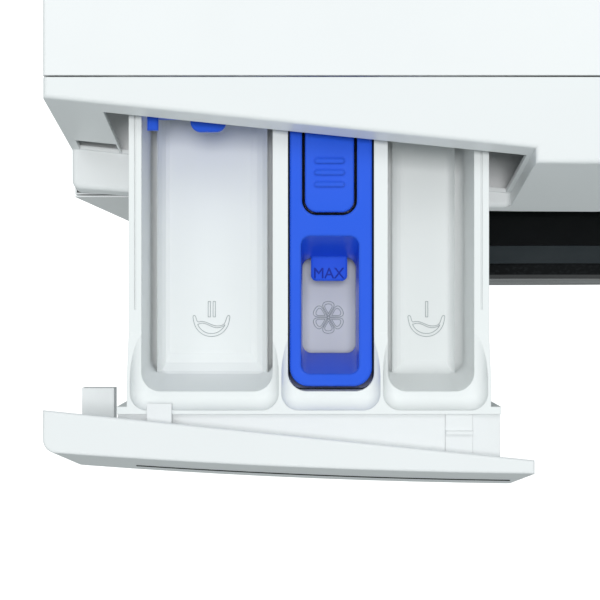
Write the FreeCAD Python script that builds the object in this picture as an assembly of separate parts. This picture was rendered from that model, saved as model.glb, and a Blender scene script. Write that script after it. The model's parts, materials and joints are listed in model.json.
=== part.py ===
import FreeCAD, Part
import os
from math import acos, cos, hypot, radians, sin

os.makedirs("parts", exist_ok=True)
V = FreeCAD.Vector

# Front load washing machine, millimetres, +Z up, front towards -Y, origin on the floor under the cabinet centre.
# The detergent drawer is drawn pulled out to its stop; door, flap and controls are drawn at rest.

# Cabinet
WIDTH = 598.0
HEIGHT = 848.0
HALF_W = WIDTH / 2.0
FRONT_Y = -275.0
REAR_Y = 275.0
SHEET = 1.0
PANEL_Z0 = 30.0
PANEL_Z1 = 818.0
WORKTOP_Z0 = 834.0
WORKTOP_FRONT_Y = -220.3
PLINTH_TOP = 110.0
FRONT_PANEL_TOP = 748.0

# Control fascia: leans outward towards the bottom and bows forward in plan
FASCIA_Z0 = 750.0
FASCIA_REAR_Y = -221.2
FASCIA_FRONT_Y = -265.0
FASCIA_LEAN = 0.19
BOW_RADIUS = 3927.0
FASCIA_WALL = 2.5

# Drawer notch in the fascia
NOTCH_X1 = -47.0
NOTCH_Y_LEFT = -231.4
NOTCH_SLOPE = -0.102
NOTCH_Z0 = 760.0
OPENING_X0 = -270.0
OPENING_X1 = -49.6
OPENING_Z0 = 760.8
OPENING_Z1 = 833.5
SLOT_X0 = -294.0
SLOT_X1 = -271.2
SLOT_Z1 = 777.5
EDGE_ROUND = 2.5

# Drawer
TRAVEL = 159.0
DRAWER_GAP = 0.6
TRAY_X0 = -258.2
TRAY_X1 = -67.7
TRAY_PLATE_X0 = -263.5
TRAY_PLATE_X1 = -62.4
TRAY_FRONT_Y = -394.8
TRAY_REAR_Y = -120.0
TRAY_Z0 = 765.0
TRAY_FLOOR_Z = 768.0
RIM_Z = 823.0
SCOOP_Z = 831.0
MOUTH_Y = -383.3
MOUTH_DRAFT = 7.4
COMPARTMENTS = ((-251.4, -182.1), (-174.0, -128.5), (-121.2, -75.6))
SCOOPS = ((-256.5, -178.8), (-177.3, -125.6), (-124.1, -69.4))
INSERT_X0 = -173.1
INSERT_X1 = -129.4
INSERT_Y0 = -381.0
INSERT_Y1 = -150.0
FLAP_Y = -233.0

# Washing unit, all round a horizontal axis at this height
AXIS_Z = 450.0
TUB_R = 268.0
TUB_WALL = 3.5
TUB_Y0 = -220.0
TUB_SPLIT_Y = -62.0
TUB_Y1 = 150.0
DRUM_R = 245.0
DRUM_Y0 = -204.0
DRUM_Y1 = 118.0
SHAFT_R = 15.0
PULLEY_R = 140.0
PULLEY_Y0 = 192.0
BELT_W = 12.0
MOTOR_X = 110.0
MOTOR_Z = 126.0
MOTOR_R = 56.0
MOTOR_PULLEY_R = 14.0

# Door
DOOR_R = 220.0
DOOR_REAR_Y = -278.0
HINGE_X = -231.0
HINGE_Y = -292.0
PORT_R = 172.0

# Suspension
SPRING_X = 244.0
SPRING_Y = 90.0
DAMPER_Y = 40.0

# Feet and service parts
FOOT_X = 250.0
FOOT_Y = 230.0
PUMP_X = 205.0
PUMP_Z = 74.0
FLAP_X0 = 158.0
FLAP_X1 = 252.0
FLAP_Z0 = 42.0
FLAP_Z1 = 104.0


def save(name, shape):
    """Write one node."""
    shape.exportStep("parts/" + name + ".step")
    print(name, len(shape.Solids), "solids, closed" if shape.isValid() else "solids, BROKEN")


def box(x0, x1, y0, y1, z0, z1):
    return Part.makeBox(x1 - x0, y1 - y0, z1 - z0, V(x0, y0, z0))


def rod(radius, start, end):
    """Cylinder between two points."""
    a = V(*start)
    axis = V(*end) - a
    return Part.makeCylinder(radius, axis.Length, a, axis)


def pipe(r_out, r_in, start, end):
    return rod(r_out, start, end).cut(rod(r_in, start, end))


def fuse(shapes):
    first = shapes[0]
    if len(shapes) == 1:
        return first
    return first.multiFuse(shapes[1:]).removeSplitter()


def group(shapes):
    solids = []
    for shape in shapes:
        solids.extend(shape.Solids)
    return Part.makeCompound(solids)


def prism(points, push):
    """Closed polygon pushed along a vector."""
    wire = Part.makePolygon([V(*p) for p in points + [points[0]]])
    return Part.Face(wire).extrude(V(*push))


def rounded_box(x0, x1, y0, y1, z0, z1, radius, axis="Z"):
    """Box with its four edges along one axis rounded."""
    body = box(x0, x1, y0, y1, z0, z1)
    chosen = []
    for edge in body.Edges:
        run = edge.Vertexes[1].Point - edge.Vertexes[0].Point
        along = {"X": abs(run.x), "Y": abs(run.y), "Z": abs(run.z)}[axis]
        if along > run.Length * 0.99:
            chosen.append(edge)
    return body.makeFillet(radius, chosen)


def round_edges(body, radius, test):
    """Round every straight or curved edge whose centre of mass passes the test."""
    chosen = [e for e in body.Edges if test(e.CenterOfMass)]
    return body.makeFillet(radius, chosen)


def turned(profile, x=0.0, z=AXIS_Z):
    """Solid of revolution round a Y-direction axis; profile is a list of (radius, y)."""
    points = [V(x + r, y, z) for r, y in profile]
    face = Part.Face(Part.makePolygon(points + [points[0]]))
    return face.revolve(V(x, 0, z), V(0, 1, 0), 360)


def hose(points, r_out, r_in, bend):
    """Tube along a polyline with rounded bends."""
    nodes = [V(*p) for p in points]
    edges = []
    last = nodes[0]
    for i in range(1, len(nodes) - 1):
        back = (nodes[i - 1] - nodes[i]).normalize()
        ahead = (nodes[i + 1] - nodes[i]).normalize()
        half = back.getAngle(ahead) / 2.0
        reach = bend * cos(half) / sin(half)
        a = nodes[i] + back * reach
        b = nodes[i] + ahead * reach
        middle = (back + ahead).normalize()
        centre = nodes[i] + middle * (bend / sin(half))
        edges.append(Part.makeLine(last, a))
        edges.append(Part.Arc(a, centre - middle * bend, b).toShape())
        last = b
    edges.append(Part.makeLine(last, nodes[-1]))
    path = Part.Wire(edges)
    axis = nodes[1] - nodes[0]
    outer = path.makePipeShell([Part.Wire(Part.makeCircle(r_out, nodes[0], axis))], True, True)
    inner = path.makePipeShell([Part.Wire(Part.makeCircle(r_in, nodes[0], axis))], True, True)
    return outer.cut(inner)


def face_y(x, z, inset=0.0):
    """Y of the fascia's front face."""
    return FASCIA_FRONT_Y + x * x / (2.0 * BOW_RADIUS) - FASCIA_LEAN * (HEIGHT - z) + inset


def notch_y(x, z):
    """Y of the plane the drawer front closes against."""
    return NOTCH_Y_LEFT + NOTCH_SLOPE * (x + HALF_W) - FASCIA_LEAN * (HEIGHT - z)


def fascia_block(x0, x1, z0, z1, inset):
    """Leaning, bowed block from the front face back past the fascia's rear."""
    back = -120.0
    start = V(x0, face_y(x0, z1, inset), z1)
    middle = V((x0 + x1) / 2.0, face_y((x0 + x1) / 2.0, z1, inset), z1)
    end = V(x1, face_y(x1, z1, inset), z1)
    edges = [
        Part.Arc(start, middle, end).toShape(),
        Part.makeLine(end, V(x1, back, z1)),
        Part.makeLine(V(x1, back, z1), V(x0, back, z1)),
        Part.makeLine(V(x0, back, z1), start),
    ]
    drop = z1 - z0
    return Part.Face(Part.Wire(edges)).extrude(V(0, -FASCIA_LEAN * drop, -drop))


def notch_block(x0, x1, z0, z1, shift):
    """Space in front of the notch plane, the plane moved by shift along Y."""
    points = [
        (x0, notch_y(x0, z1) + shift, z1),
        (x1, notch_y(x1, z1) + shift, z1),
        (x1, FRONT_Y - 120.0, z1),
        (x0, FRONT_Y - 120.0, z1),
    ]
    drop = z1 - z0
    return prism(points, (0, -FASCIA_LEAN * drop, -drop))


def fascia_frame(x, z):
    """Placement on the fascia's face with local +Z pointing out of it and local +X to the right."""
    tangent = V(1.0, x / BOW_RADIUS, 0.0).normalize()
    up = V(0.0, FASCIA_LEAN, 1.0).normalize()
    normal = tangent.cross(up).normalize()
    up = normal.cross(tangent)
    turn = FreeCAD.Rotation(tangent, up, normal, "ZXY")
    return FreeCAD.Placement(V(x, face_y(x, z), z), turn)


def on_fascia(shape, x, z):
    """Copy of a shape drawn in local fascia coordinates."""
    moved = shape.copy()
    moved.Placement = fascia_frame(x, z)
    return moved


# ---------------------------------------------------------------- cabinet

def side_panel(side):
    """Folded steel side with front and rear flanges and two pressed ribs."""
    x_out = side * HALF_W
    x_in = side * (HALF_W - SHEET)
    lo, hi = min(x_out, x_in), max(x_out, x_in)
    y0 = FRONT_Y + 1.6
    y1 = REAR_Y - 1.6
    flange = side * (HALF_W - 28.0)
    f_lo, f_hi = min(x_out, flange), max(x_out, flange)
    panel = [box(lo, hi, y0, y1, PANEL_Z0, PANEL_Z1)]
    panel.append(box(f_lo, f_hi, y0, y0 + SHEET, PANEL_Z0, PANEL_Z1))
    panel.append(box(f_lo, f_hi, y1 - SHEET, y1, PANEL_Z0, PANEL_Z1))
    body = fuse(panel)
    body = body.cut(box(-400, 400, -400, FASCIA_REAR_Y + 2.0, FRONT_PANEL_TOP, 900))
    body = body.cut(box(-400, 400, -400, FRONT_Y + 12.5, 0, PLINTH_TOP))
    rib_x0, rib_x1 = sorted((x_out, side * (HALF_W - 3.0)))
    cut_x0, cut_x1 = sorted((x_out + side, side * (HALF_W - 2.0)))
    for z in (250.0, 600.0):
        rib = rounded_box(rib_x0, rib_x1, -190.0, 190.0, z - 14.0, z + 14.0, 13.5, "X")
        body = body.fuse(rib)
        body = body.cut(rounded_box(cut_x0, cut_x1, -188.0, 188.0, z - 12.0, z + 12.0, 11.5, "X"))
    return body.removeSplitter()


def rear_panel():
    """Steel back with the service opening, valve hole and drain hole."""
    y0 = REAR_Y - SHEET
    body = box(-HALF_W, HALF_W, y0, REAR_Y, PANEL_Z0, PANEL_Z1)
    body = body.cut(rod(160.0, (0, y0 - 1, AXIS_Z), (0, REAR_Y + 1, AXIS_Z)))
    body = body.cut(rod(15.5, (-230, y0 - 1, 780), (-230, REAR_Y + 1, 780)))
    body = body.cut(rod(12.5, (236, y0 - 1, 640), (236, REAR_Y + 1, 640)))
    for x in (-215.0, 215.0):
        for z in (250.0, 560.0):
            body = body.cut(rod(13.0, (x, y0 - 1, z), (x, REAR_Y + 1, z)))
    for x, z in cover_screw_spots():
        body = body.cut(rod(2.6, (x, y0 - 1, z), (x, REAR_Y + 1, z)))
    return body


def cover_screw_spots():
    """X and Z of the rear cover's screws."""
    turns = [radians(60 * i + 30) for i in range(6)]
    return [(167.0 * cos(a), AXIS_Z + 167.0 * sin(a)) for a in turns]


def rear_access_cover():
    """Dished cover over the drive opening."""
    outer = rod(175.0, (0, REAR_Y, AXIS_Z), (0, REAR_Y + 1.2, AXIS_Z))
    dish = rod(150.0, (0, REAR_Y, AXIS_Z), (0, REAR_Y + 8.0, AXIS_Z))
    dish = round_edges(dish, 4.0, lambda c: c.y > REAR_Y + 7.0)
    hollow = rod(148.5, (0, REAR_Y - 1, AXIS_Z), (0, REAR_Y + 6.8, AXIS_Z))
    body = outer.fuse(dish).cut(hollow)
    for x, z in cover_screw_spots():
        body = body.cut(rod(2.6, (x, REAR_Y - 1, z), (x, REAR_Y + 3, z)))
    return body.removeSplitter()


def rear_screws():
    """Screws of the rear cover and of the rear panel's edges."""
    spots = [(x, z, REAR_Y + 1.2, 2.5) for x, z in cover_screw_spots()]
    for z in (60.0, 300.0, 540.0, 790.0):
        for x in (-286.0, 286.0):
            spots.append((x, z, REAR_Y, 0.0))
    screws = []
    for x, z, y, shank in spots:
        head = rod(5.0, (x, y, z), (x, y + 3.0, z))
        head = round_edges(head, 1.5, lambda c, top=y + 3.0: c.y > top - 0.1)
        head = head.cut(box(x - 3.2, x + 3.2, y + 1.8, y + 4, z - 0.6, z + 0.6))
        head = head.cut(box(x - 0.6, x + 0.6, y + 1.8, y + 4, z - 3.2, z + 3.2))
        if shank:
            head = head.fuse(rod(shank, (x, y - 6.0, z), (x, y, z)))
        screws.append(head)
    return group(screws)


def front_panel():
    """Steel front with the porthole, its turned-in rim, the lock slot and side returns."""
    body = box(-HALF_W, HALF_W, FRONT_Y, FRONT_Y + SHEET, PLINTH_TOP, FRONT_PANEL_TOP)
    hub = rod(PORT_R + 1.5, (0, FRONT_Y, AXIS_Z), (0, FRONT_Y + 8.0, AXIS_Z))
    body = body.fuse(hub)
    body = body.cut(rod(PORT_R, (0, FRONT_Y - 1, AXIS_Z), (0, FRONT_Y + 10.0, AXIS_Z)))
    body = body.cut(box(188.0, 208.0, FRONT_Y - 1, FRONT_Y + 2, AXIS_Z - 16, AXIS_Z + 16))
    return body.removeSplitter()


def kick_plinth():
    """Plastic plinth under the front panel with the service opening."""
    body = rounded_box(-HALF_W, HALF_W, FRONT_Y, FRONT_Y + 12.0, PANEL_Z0, PLINTH_TOP - 0.8, 3.0, "X")
    body = body.cut(box(-HALF_W + 3, HALF_W - 3, FRONT_Y + 2.5, FRONT_Y + 13, PANEL_Z0 + 2.5, PLINTH_TOP - 3.3))
    body = body.cut(box(FLAP_X0 - 0.8, FLAP_X1 + 0.8, FRONT_Y - 1, FRONT_Y + 4, FLAP_Z0 - 0.8, FLAP_Z1 + 0.8))
    return body


def base_pan():
    """Moulded floor pan with a rim, foot bosses and damper brackets."""
    body = rounded_box(-296.5, 296.5, -261.0, 272.0, 24.0, 56.0, 12.0)
    body = body.cut(rounded_box(-293.5, 293.5, -258.0, 269.0, 27.0, 57.0, 9.5))
    parts = [body]
    for x in (-FOOT_X, FOOT_X):
        for y in (-FOOT_Y, FOOT_Y):
            parts.append(rod(16.0, (x, y, 24.0), (x, y, 50.0)))
    for side in (-1, 1):
        for dy in (-15.0, 15.0):
            x0, x1 = sorted((side * 206.0, side * 236.0))
            parts.append(box(x0, x1, DAMPER_Y + dy - 2, DAMPER_Y + dy + 2, 26.0, 74.0))
    body = fuse(parts)
    for x in (-FOOT_X, FOOT_X):
        for y in (-FOOT_Y, FOOT_Y):
            body = body.cut(rod(5.0, (x, y, 20.0), (x, y, 52.0)))
    return body.cut(rod(34.3, (PUMP_X, -265.0, PUMP_Z), (PUMP_X, -250.0, PUMP_Z)))


def levelling_feet():
    """Four screw feet, each with its locknut as a solid of its own."""
    solids = []
    for x in (-FOOT_X, FOOT_X):
        for y in (-FOOT_Y, FOOT_Y):
            pad = rod(20.0, (x, y, 0.0), (x, y, 8.0))
            pad = round_edges(pad, 2.0, lambda c: c.z > 7.0)
            cone = Part.makeCone(12.0, 7.0, 6.0, V(x, y, 8.0), V(0, 0, 1))
            stud = rod(5.0, (x, y, 8.0), (x, y, 48.0))
            solids.append(fuse([pad, cone, stud]))
            nut_points = []
            for i in range(6):
                a = radians(60 * i)
                nut_points.append((x + 9.8 * cos(a), y + 9.8 * sin(a), 17.5))
            solids.append(prism(nut_points, (0, 0, 6.5)).cut(rod(5.0, (x, y, 10.0), (x, y, 30.0))))
    return group(solids)


def cross_rails():
    """Front and rear top rails that hold the cabinet square and carry the springs."""
    inner = HALF_W - SHEET - 0.2
    front = box(-inner, inner, -262.0, -236.0, 726.0, 746.0)
    front = front.cut(box(-inner - 1, inner + 1, -260.8, -237.2, 725.0, 744.8))
    rear = box(-inner, inner, 244.0, 271.0, 802.0, 817.0)
    rear = rear.cut(box(-inner - 1, inner + 1, 245.2, 269.8, 801.0, 815.8))
    solids = [front, rear]
    for side in (-1, 1):
        x0, x1 = sorted((side * 268.0, side * inner))
        rail = box(x0, x1, -190.0, 243.0, 784.0, 806.0)
        c0, c1 = sorted((side * 267.0, side * (inner - 1.2)))
        rail = rail.cut(box(c0, c1, -191.0, 244.0, 785.2, 804.8))
        x2, x3 = sorted((side * 236.0, side * 270.0))
        rail = rail.fuse(box(x2, x3, SPRING_Y - 8.0, SPRING_Y + 8.0, 784.0, 787.0))
        solids.append(rail.removeSplitter())
    return group(solids)


def worktop():
    """Board with rounded edges and a clamping skirt underneath."""
    body = box(-HALF_W, HALF_W, WORKTOP_FRONT_Y, REAR_Y, WORKTOP_Z0, HEIGHT)
    body = round_edges(body, 2.0, lambda c: c.z > HEIGHT - 0.1 and c.y > WORKTOP_FRONT_Y + 1.0)
    skirt = box(-HALF_W, HALF_W, WORKTOP_FRONT_Y, REAR_Y, PANEL_Z1 + 1.0, WORKTOP_Z0)
    skirt = skirt.cut(box(-HALF_W + 14, HALF_W - 14, -300.0, REAR_Y - 14, PANEL_Z1, WORKTOP_Z0 + 1))
    return body.fuse(skirt).removeSplitter()


# ---------------------------------------------------------------- fascia and controls

def knob_seat():
    """Round opening for the programme knob's hub, in fascia coordinates."""
    return Part.makeCylinder(9.5, 14.0, V(0, 0, -8.0), V(0, 0, 1))


def control_fascia():
    """Moulded shell with the drawer notch, the drawer opening and the control openings."""
    full = fascia_block(-HALF_W, HALF_W, FASCIA_Z0, HEIGHT, 0.0)
    full = full.common(box(-400, 400, -400, FASCIA_REAR_Y, 700, 900))
    full = full.cut(notch_block(-HALF_W - 5, NOTCH_X1, NOTCH_Z0, HEIGHT + 5, 0.0))
    full = round_edges(full, 5.0, lambda c: c.x < -HALF_W + 1 and c.y < -265.0 and c.z < NOTCH_Z0 - 1)
    full = round_edges(full, EDGE_ROUND, lambda c: c.z > HEIGHT - 0.1 and c.y < FASCIA_REAR_Y - 5.0)
    full = round_edges(full, 3.0, lambda c: abs(c.z - NOTCH_Z0) < 0.1 and c.y < -268.0)
    wall = FASCIA_WALL
    hollow = fascia_block(-HALF_W + wall, HALF_W - wall, FASCIA_Z0 + wall, HEIGHT - wall, wall)
    keep = notch_block(-HALF_W - 5, NOTCH_X1 + wall, NOTCH_Z0 - wall, HEIGHT + 5, wall)
    body = full.cut(hollow.cut(keep))
    body = body.cut(box(OPENING_X0, OPENING_X1, -300.0, -200.0, OPENING_Z0, OPENING_Z1))
    body = body.cut(box(SLOT_X0, SLOT_X1, -262.0, -200.0, OPENING_Z0, SLOT_Z1))
    body = body.cut(on_fascia(knob_seat(), 62.0, 799.0))
    window = box(-58.0, 58.0, -17.0, 17.0, -1.7, 5.0)
    glazing = box(-53.0, 53.0, -13.0, 13.0, -8.0, 5.0)
    body = body.cut(on_fascia(window, 168.0, 799.0)).cut(on_fascia(glazing, 168.0, 799.0))
    button = Part.makeCylinder(9.4, 14.0, V(0, 0, -8.0), V(0, 0, 1))
    body = body.cut(on_fascia(button, 255.0, 799.0))
    return body


def control_module():
    """Electronics box behind the fascia with the knob encoder and the button post."""
    body = rounded_box(-30.0, 276.0, -246.0, -226.0, 764.0, 836.0, 4.0, "Y")
    body = body.cut(rounded_box(-28.0, 274.0, -244.0, -220.0, 766.0, 834.0, 2.5, "Y"))
    board = box(-27.9, 273.9, -232.0, -230.4, 766.2, 833.8)
    posts = []
    for x in (-18.0, 120.0, 264.0):
        posts.append(rod(3.0, (x, -245.0, 800.0), (x, -231.0, 800.0)))
    return fuse([body, board] + posts)


def display_window():
    """Tinted pane let into the fascia."""
    pane = rounded_box(-57.6, 57.6, -16.6, 16.6, -1.5, 0.1, 3.0)
    return on_fascia(pane, 168.0, 799.0)


def programme_knob():
    """Dial with a finger bar and a hub through the fascia."""
    skirt = Part.makeCone(25.0, 23.0, 6.0, V(0, 0, 0.8), V(0, 0, 1))
    body = Part.makeCylinder(21.0, 12.0, V(0, 0, 6.8), V(0, 0, 1))
    knob = skirt.fuse(body)
    knob = round_edges(knob, 1.5, lambda c: c.z > 18.0)
    for side in (-1, 1):
        y0, y1 = sorted((side * 5.5, side * 26.0))
        flank = rounded_box(-30.0, 30.0, y0, y1, 9.0, 22.0, 4.0, "X")
        knob = knob.cut(flank)
    mark = box(-0.8, 0.8, 13.0, 19.5, 17.6, 20.0)
    hub = Part.makeCylinder(8.8, 9.0, V(0, 0, -8.0), V(0, 0, 1))
    knob = knob.fuse(hub).cut(mark)
    return on_fascia(knob.removeSplitter(), 62.0, 799.0)


def start_button():
    """Push button with a flange behind the fascia."""
    cap = Part.makeCylinder(9.0, 8.5, V(0, 0, -6.0), V(0, 0, 1))
    cap = round_edges(cap, 1.0, lambda c: c.z > 2.0)
    flange = Part.makeCylinder(11.0, 1.5, V(0, 0, -7.0), V(0, 0, 1))
    return on_fascia(cap.fuse(flange), 255.0, 799.0)


# ---------------------------------------------------------------- dispenser

def dispenser_housing():
    """Moulded box the tray slides in, with its outlet spout."""
    body = box(-267.5, -58.4, -220.6, 62.0, 760.4, 826.0)
    body = body.cut(box(-265.0, -60.9, -221.6, 59.5, 762.9, 827.0))
    for x in (-250.0, -162.0, -76.0):
        body = body.fuse(box(x - 2, x + 2, -216.0, 20.0, 762.9, 764.7))
    body = body.fuse(rod(16.0, (-90, 40, 738.0), (-90, 40, 762.0)))
    body = body.cut(rod(13.5, (-90, 40, 736.0), (-90, 40, 764.0)))
    for x in (-266.0, -60.0):
        body = body.fuse(box(x - 1.0, x + 1.0, -200.0, 40.0, 746.0, 761.0))
    return body.removeSplitter()


def dispenser_lid():
    """Water distributor on top of the housing with three jet channels."""
    body = box(-267.5, -58.4, -196.0, 62.0, 826.0, 828.0)
    for x0, x1 in COMPARTMENTS:
        channel = box(x0 + 8, x1 - 8, -185.0, 40.0, 828.0, 833.2)
        channel = channel.cut(box(x0 + 9.5, x1 - 9.5, -183.5, 38.5, 828.0, 831.8))
        body = body.fuse(channel)
        for k in range(6):
            y = -165.0 + 34.0 * k
            x = (x0 + x1) / 2.0
            body = body.cut(rod(1.6, (x, y, 825.0), (x, y, 829.0)))
    plate = box(-267.5, -58.4, 62.0, 64.0, 800.0, 828.0)
    body = body.fuse(plate)
    body = body.fuse(rod(9.0, (-230.0, 62.0, 812.0), (-230.0, 80.0, 812.0)))
    body = body.cut(rod(6.5, (-230.0, 60.0, 812.0), (-230.0, 81.0, 812.0)))
    return body.removeSplitter()


def inlet_valve():
    """Solenoid valve with a three-quarter inch port through the rear panel."""
    port = pipe(13.2, 9.0, (-230, 268.0, 780), (-230, 291.0, 780))
    flange = rod(20.0, (-230, 270.0, 780), (-230, 273.8, 780))
    flange = flange.cut(rod(9.0, (-230, 260.0, 780), (-230, 280.0, 780)))
    body = rounded_box(-246.0, -214.0, 228.0, 270.0, 764.0, 794.0, 4.0, "Y")
    coil = rod(11.0, (-230, 246.0, 738.0), (-230, 246.0, 764.5))
    outlet = rod(8.0, (-230, 208.0, 780), (-230, 229.0, 780))
    body = fuse([port, flange, body, coil, outlet])
    return body.cut(rod(5.5, (-230, 200.0, 780), (-230, 240.0, 780)))


def inlet_hose():
    """Rubber hose from the valve to the distributor."""
    path = [(-230, 227.5, 780), (-230, 150.0, 780), (-230, 118.0, 812), (-230, 64.5, 812)]
    return hose(path, 12.0, 9.2, 30.0)


def dispenser_hose():
    """Short bellows from the dispenser outlet to the tub."""
    outer = [(20.0, 714.5)]
    inner = [(16.2, 714.5)]
    for k in range(3):
        z = 722.0 + 5.2 * k
        outer.extend([(20.0, z), (23.5, z + 2.6)])
        inner.extend([(16.2, z), (21.5, z + 2.6)])
    outer.extend([(20.0, 737.6), (20.0, 752.0)])
    inner.extend([(16.2, 737.6), (16.2, 752.0)])
    points = [V(-90.0 + r, 40.0, h) for r, h in outer + inner[::-1]]
    face = Part.Face(Part.makePolygon(points + [points[0]]))
    return face.revolve(V(-90.0, 40.0, 0), V(0, 0, 1), 360)


def ramp_cut():
    """Takes the tray's walls from scoop height down to rim height towards the rear."""
    points = [
        (-300.0, -376.0, SCOOP_Z + 1.0),
        (-300.0, -376.0, SCOOP_Z),
        (-300.0, -352.0, RIM_Z),
        (-300.0, -100.0, RIM_Z),
        (-300.0, -100.0, SCOOP_Z + 1.0),
    ]
    return prism(points, (300.0, 0, 0))


def compartment(x0, x1, y_rear):
    """Compartment space: drafted front wall, rounded corners and floor, run up past the rim."""
    rise = 4.0
    lean = MOUTH_DRAFT / (RIM_Z - TRAY_FLOOR_Z)
    points = [
        (x0, MOUTH_Y - rise * lean, RIM_Z + rise),
        (x0, MOUTH_Y + MOUTH_DRAFT, TRAY_FLOOR_Z),
        (x0, y_rear, TRAY_FLOOR_Z),
        (x0, y_rear, RIM_Z + rise),
    ]
    body = prism(points, (x1 - x0, 0, 0))
    body = round_edges(body, 10.0, lambda c: c.y < MOUTH_Y + MOUTH_DRAFT and TRAY_FLOOR_Z + 5 < c.z < RIM_Z - 5)
    return round_edges(body, 8.0, lambda c: c.z < TRAY_FLOOR_Z + 4 and c.y < y_rear - 1.0)


def scoop(x0, x1):
    """Rounded step above the rim in front of a compartment."""
    body = box(x0, x1, MOUTH_Y - 9.4, -100.0, RIM_Z, SCOOP_Z + 12.0)
    body = round_edges(body, 9.0, lambda c: c.y < MOUTH_Y - 9.0 and RIM_Z + 2 < c.z < SCOOP_Z + 10)
    return round_edges(body, 7.5, lambda c: c.z < RIM_Z + 0.1 and c.y < -101.0)


def drawer_tray():
    """Three-compartment tray with its front plate."""
    shell = box(TRAY_X0, TRAY_X1, TRAY_FRONT_Y + 1.0, TRAY_REAR_Y, TRAY_Z0, SCOOP_Z)
    plate = box(TRAY_PLATE_X0, TRAY_PLATE_X1, TRAY_FRONT_Y, TRAY_FRONT_Y + 4.0, TRAY_Z0, SCOOP_Z)
    body = shell.fuse(plate).cut(ramp_cut())
    for x0, x1 in SCOOPS:
        body = body.cut(scoop(x0, x1))
    rears = (TRAY_REAR_Y + 5.0, TRAY_REAR_Y - 20.0, TRAY_REAR_Y + 5.0)
    for (x0, x1), rear in zip(COMPARTMENTS, rears):
        body = body.cut(compartment(x0, x1, rear))
    for x0, x1 in ((-179.6, -176.4), (-126.4, -123.3), (-256.4, -253.2), (-73.8, -69.5)):
        body = body.cut(box(x0, x1, MOUTH_Y + 12.0, TRAY_REAR_Y - 4.0, TRAY_Z0 - 1.0, RIM_Z - 2.0))
    for x in (-254.8, -71.6):
        body = body.cut(box(x - 0.4, x + 0.4, -340.0, TRAY_REAR_Y + 1.0, RIM_Z - 1.0, RIM_Z + 1.0))
    body = body.cut(rod(1.6, (-183.0, -256.0, 815.0), (-180.4, -256.0, 815.0)))
    return body.removeSplitter()


def recess_solid(grow, z0, z1):
    """Sloping-walled dip in the softener insert."""
    top = [(-167.1 - grow, -374.7 - grow), (-136.4 + grow, -374.7 - grow),
           (-136.4 + grow, -300.6 + grow), (-167.1 - grow, -300.6 + grow)]
    low = [(-166.4 - grow, -363.7 - grow), (-137.1 + grow, -363.7 - grow),
           (-137.1 + grow, -312.5 + grow), (-166.4 - grow, -312.5 + grow)]
    wires = []
    for corners, z in ((low, z0), (top, z1)):
        x0 = corners[0][0]
        x1 = corners[1][0]
        y0 = corners[0][1]
        y1 = corners[2][1]
        slab = rounded_box(x0, x1, y0, y1, z, z + 1.0, 5.0 + grow)
        bottom = [f for f in slab.Faces if abs(f.CenterOfMass.z - z) < 0.01][0]
        wires.append(bottom.OuterWire)
    return Part.makeLoft(wires, True, True)


def softener_insert():
    """Siphon insert: hollow cap with a dip down to the tray floor, a level mark and the tab slot."""
    body = compartment(INSERT_X0, INSERT_X1, INSERT_Y1)
    body.translate(V(0, INSERT_Y0 - MOUTH_Y, 0))
    body = body.common(box(-200, -100, -400, INSERT_Y1, 778.0, RIM_Z - 0.8))
    body = round_edges(body, 1.2, lambda c: c.z > RIM_Z - 0.9)
    inner = rounded_box(INSERT_X0 + 1.8, INSERT_X1 - 1.8, INSERT_Y0 + 9.0, INSERT_Y1 - 1.8, 777.0, RIM_Z - 2.8, 7.2)
    body = body.cut(inner)
    body = body.fuse(recess_solid(1.5, 792.0, RIM_Z - 1.5))
    body = body.cut(recess_solid(0.0, 791.0, RIM_Z + 0.2))
    tab = rounded_box(-161.7, -141.8, -324.5, -309.0, 793.0, 794.6, 3.0)
    body = body.fuse(tab)
    slot = rounded_box(-166.6, -137.4, -290.1, -222.0, 815.0, RIM_Z + 1.0, 8.0)
    body = body.cut(slot)
    hinge = []
    for x in (-166.8, -138.6):
        hinge.append(box(x, x + 1.4, -228.0, -221.5, 812.0, 821.0))
    siphon = pipe(9.0, 6.5, (-151.0, -180.0, 778.0), (-151.0, -180.0, 820.5))
    return fuse([body, siphon] + hinge)


def release_tab():
    """Sprung tongue pressed down to lift the drawer over its stop."""
    body = rounded_box(-165.0, -139.0, -288.5, -223.5, 818.8, 821.6, 6.5)
    body = round_edges(body, 0.8, lambda c: c.z > 821.5)
    for y in (-261.4, -267.5, -273.8):
        rib = rounded_box(-159.9, -144.1, y - 1.3, y + 1.3, 821.4, 822.6, 1.2)
        body = body.fuse(rib)
    barrel = rod(1.8, (-163.2, -226.0, 820.2), (-140.8, -226.0, 820.2))
    return body.fuse(barrel).removeSplitter()


def liquid_flap():
    """Hanging flap for liquid detergent across the main wash compartment."""
    y = FLAP_Y
    plate = rounded_box(-249.6, -183.9, y - 1.0, y + 1.0, 778.0, 817.5, 6.0, "Y")
    pin = rod(1.8, (-250.6, y, 817.5), (-182.9, y, 817.5))
    lip = rounded_box(-225.8, -206.8, y - 12.9, y + 0.5, 817.6, 820.2, 5.5)
    clip = box(-248.8, -243.0, y - 11.9, y, 817.0, 819.5)
    rib = box(-217.5, -215.0, y - 2.2, y, 784.0, 817.0)
    return fuse([plate, pin, lip, clip, rib])


def drawer_block(inset, x0, x1, z0, z1, shift):
    """Wedge between the fascia's face and the notch plane, in the closed position."""
    return fascia_block(x0, x1, z0, z1, inset).common(notch_block(x0 - 1, x1 + 1, z0 - 5, z1 + 5, shift))


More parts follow.
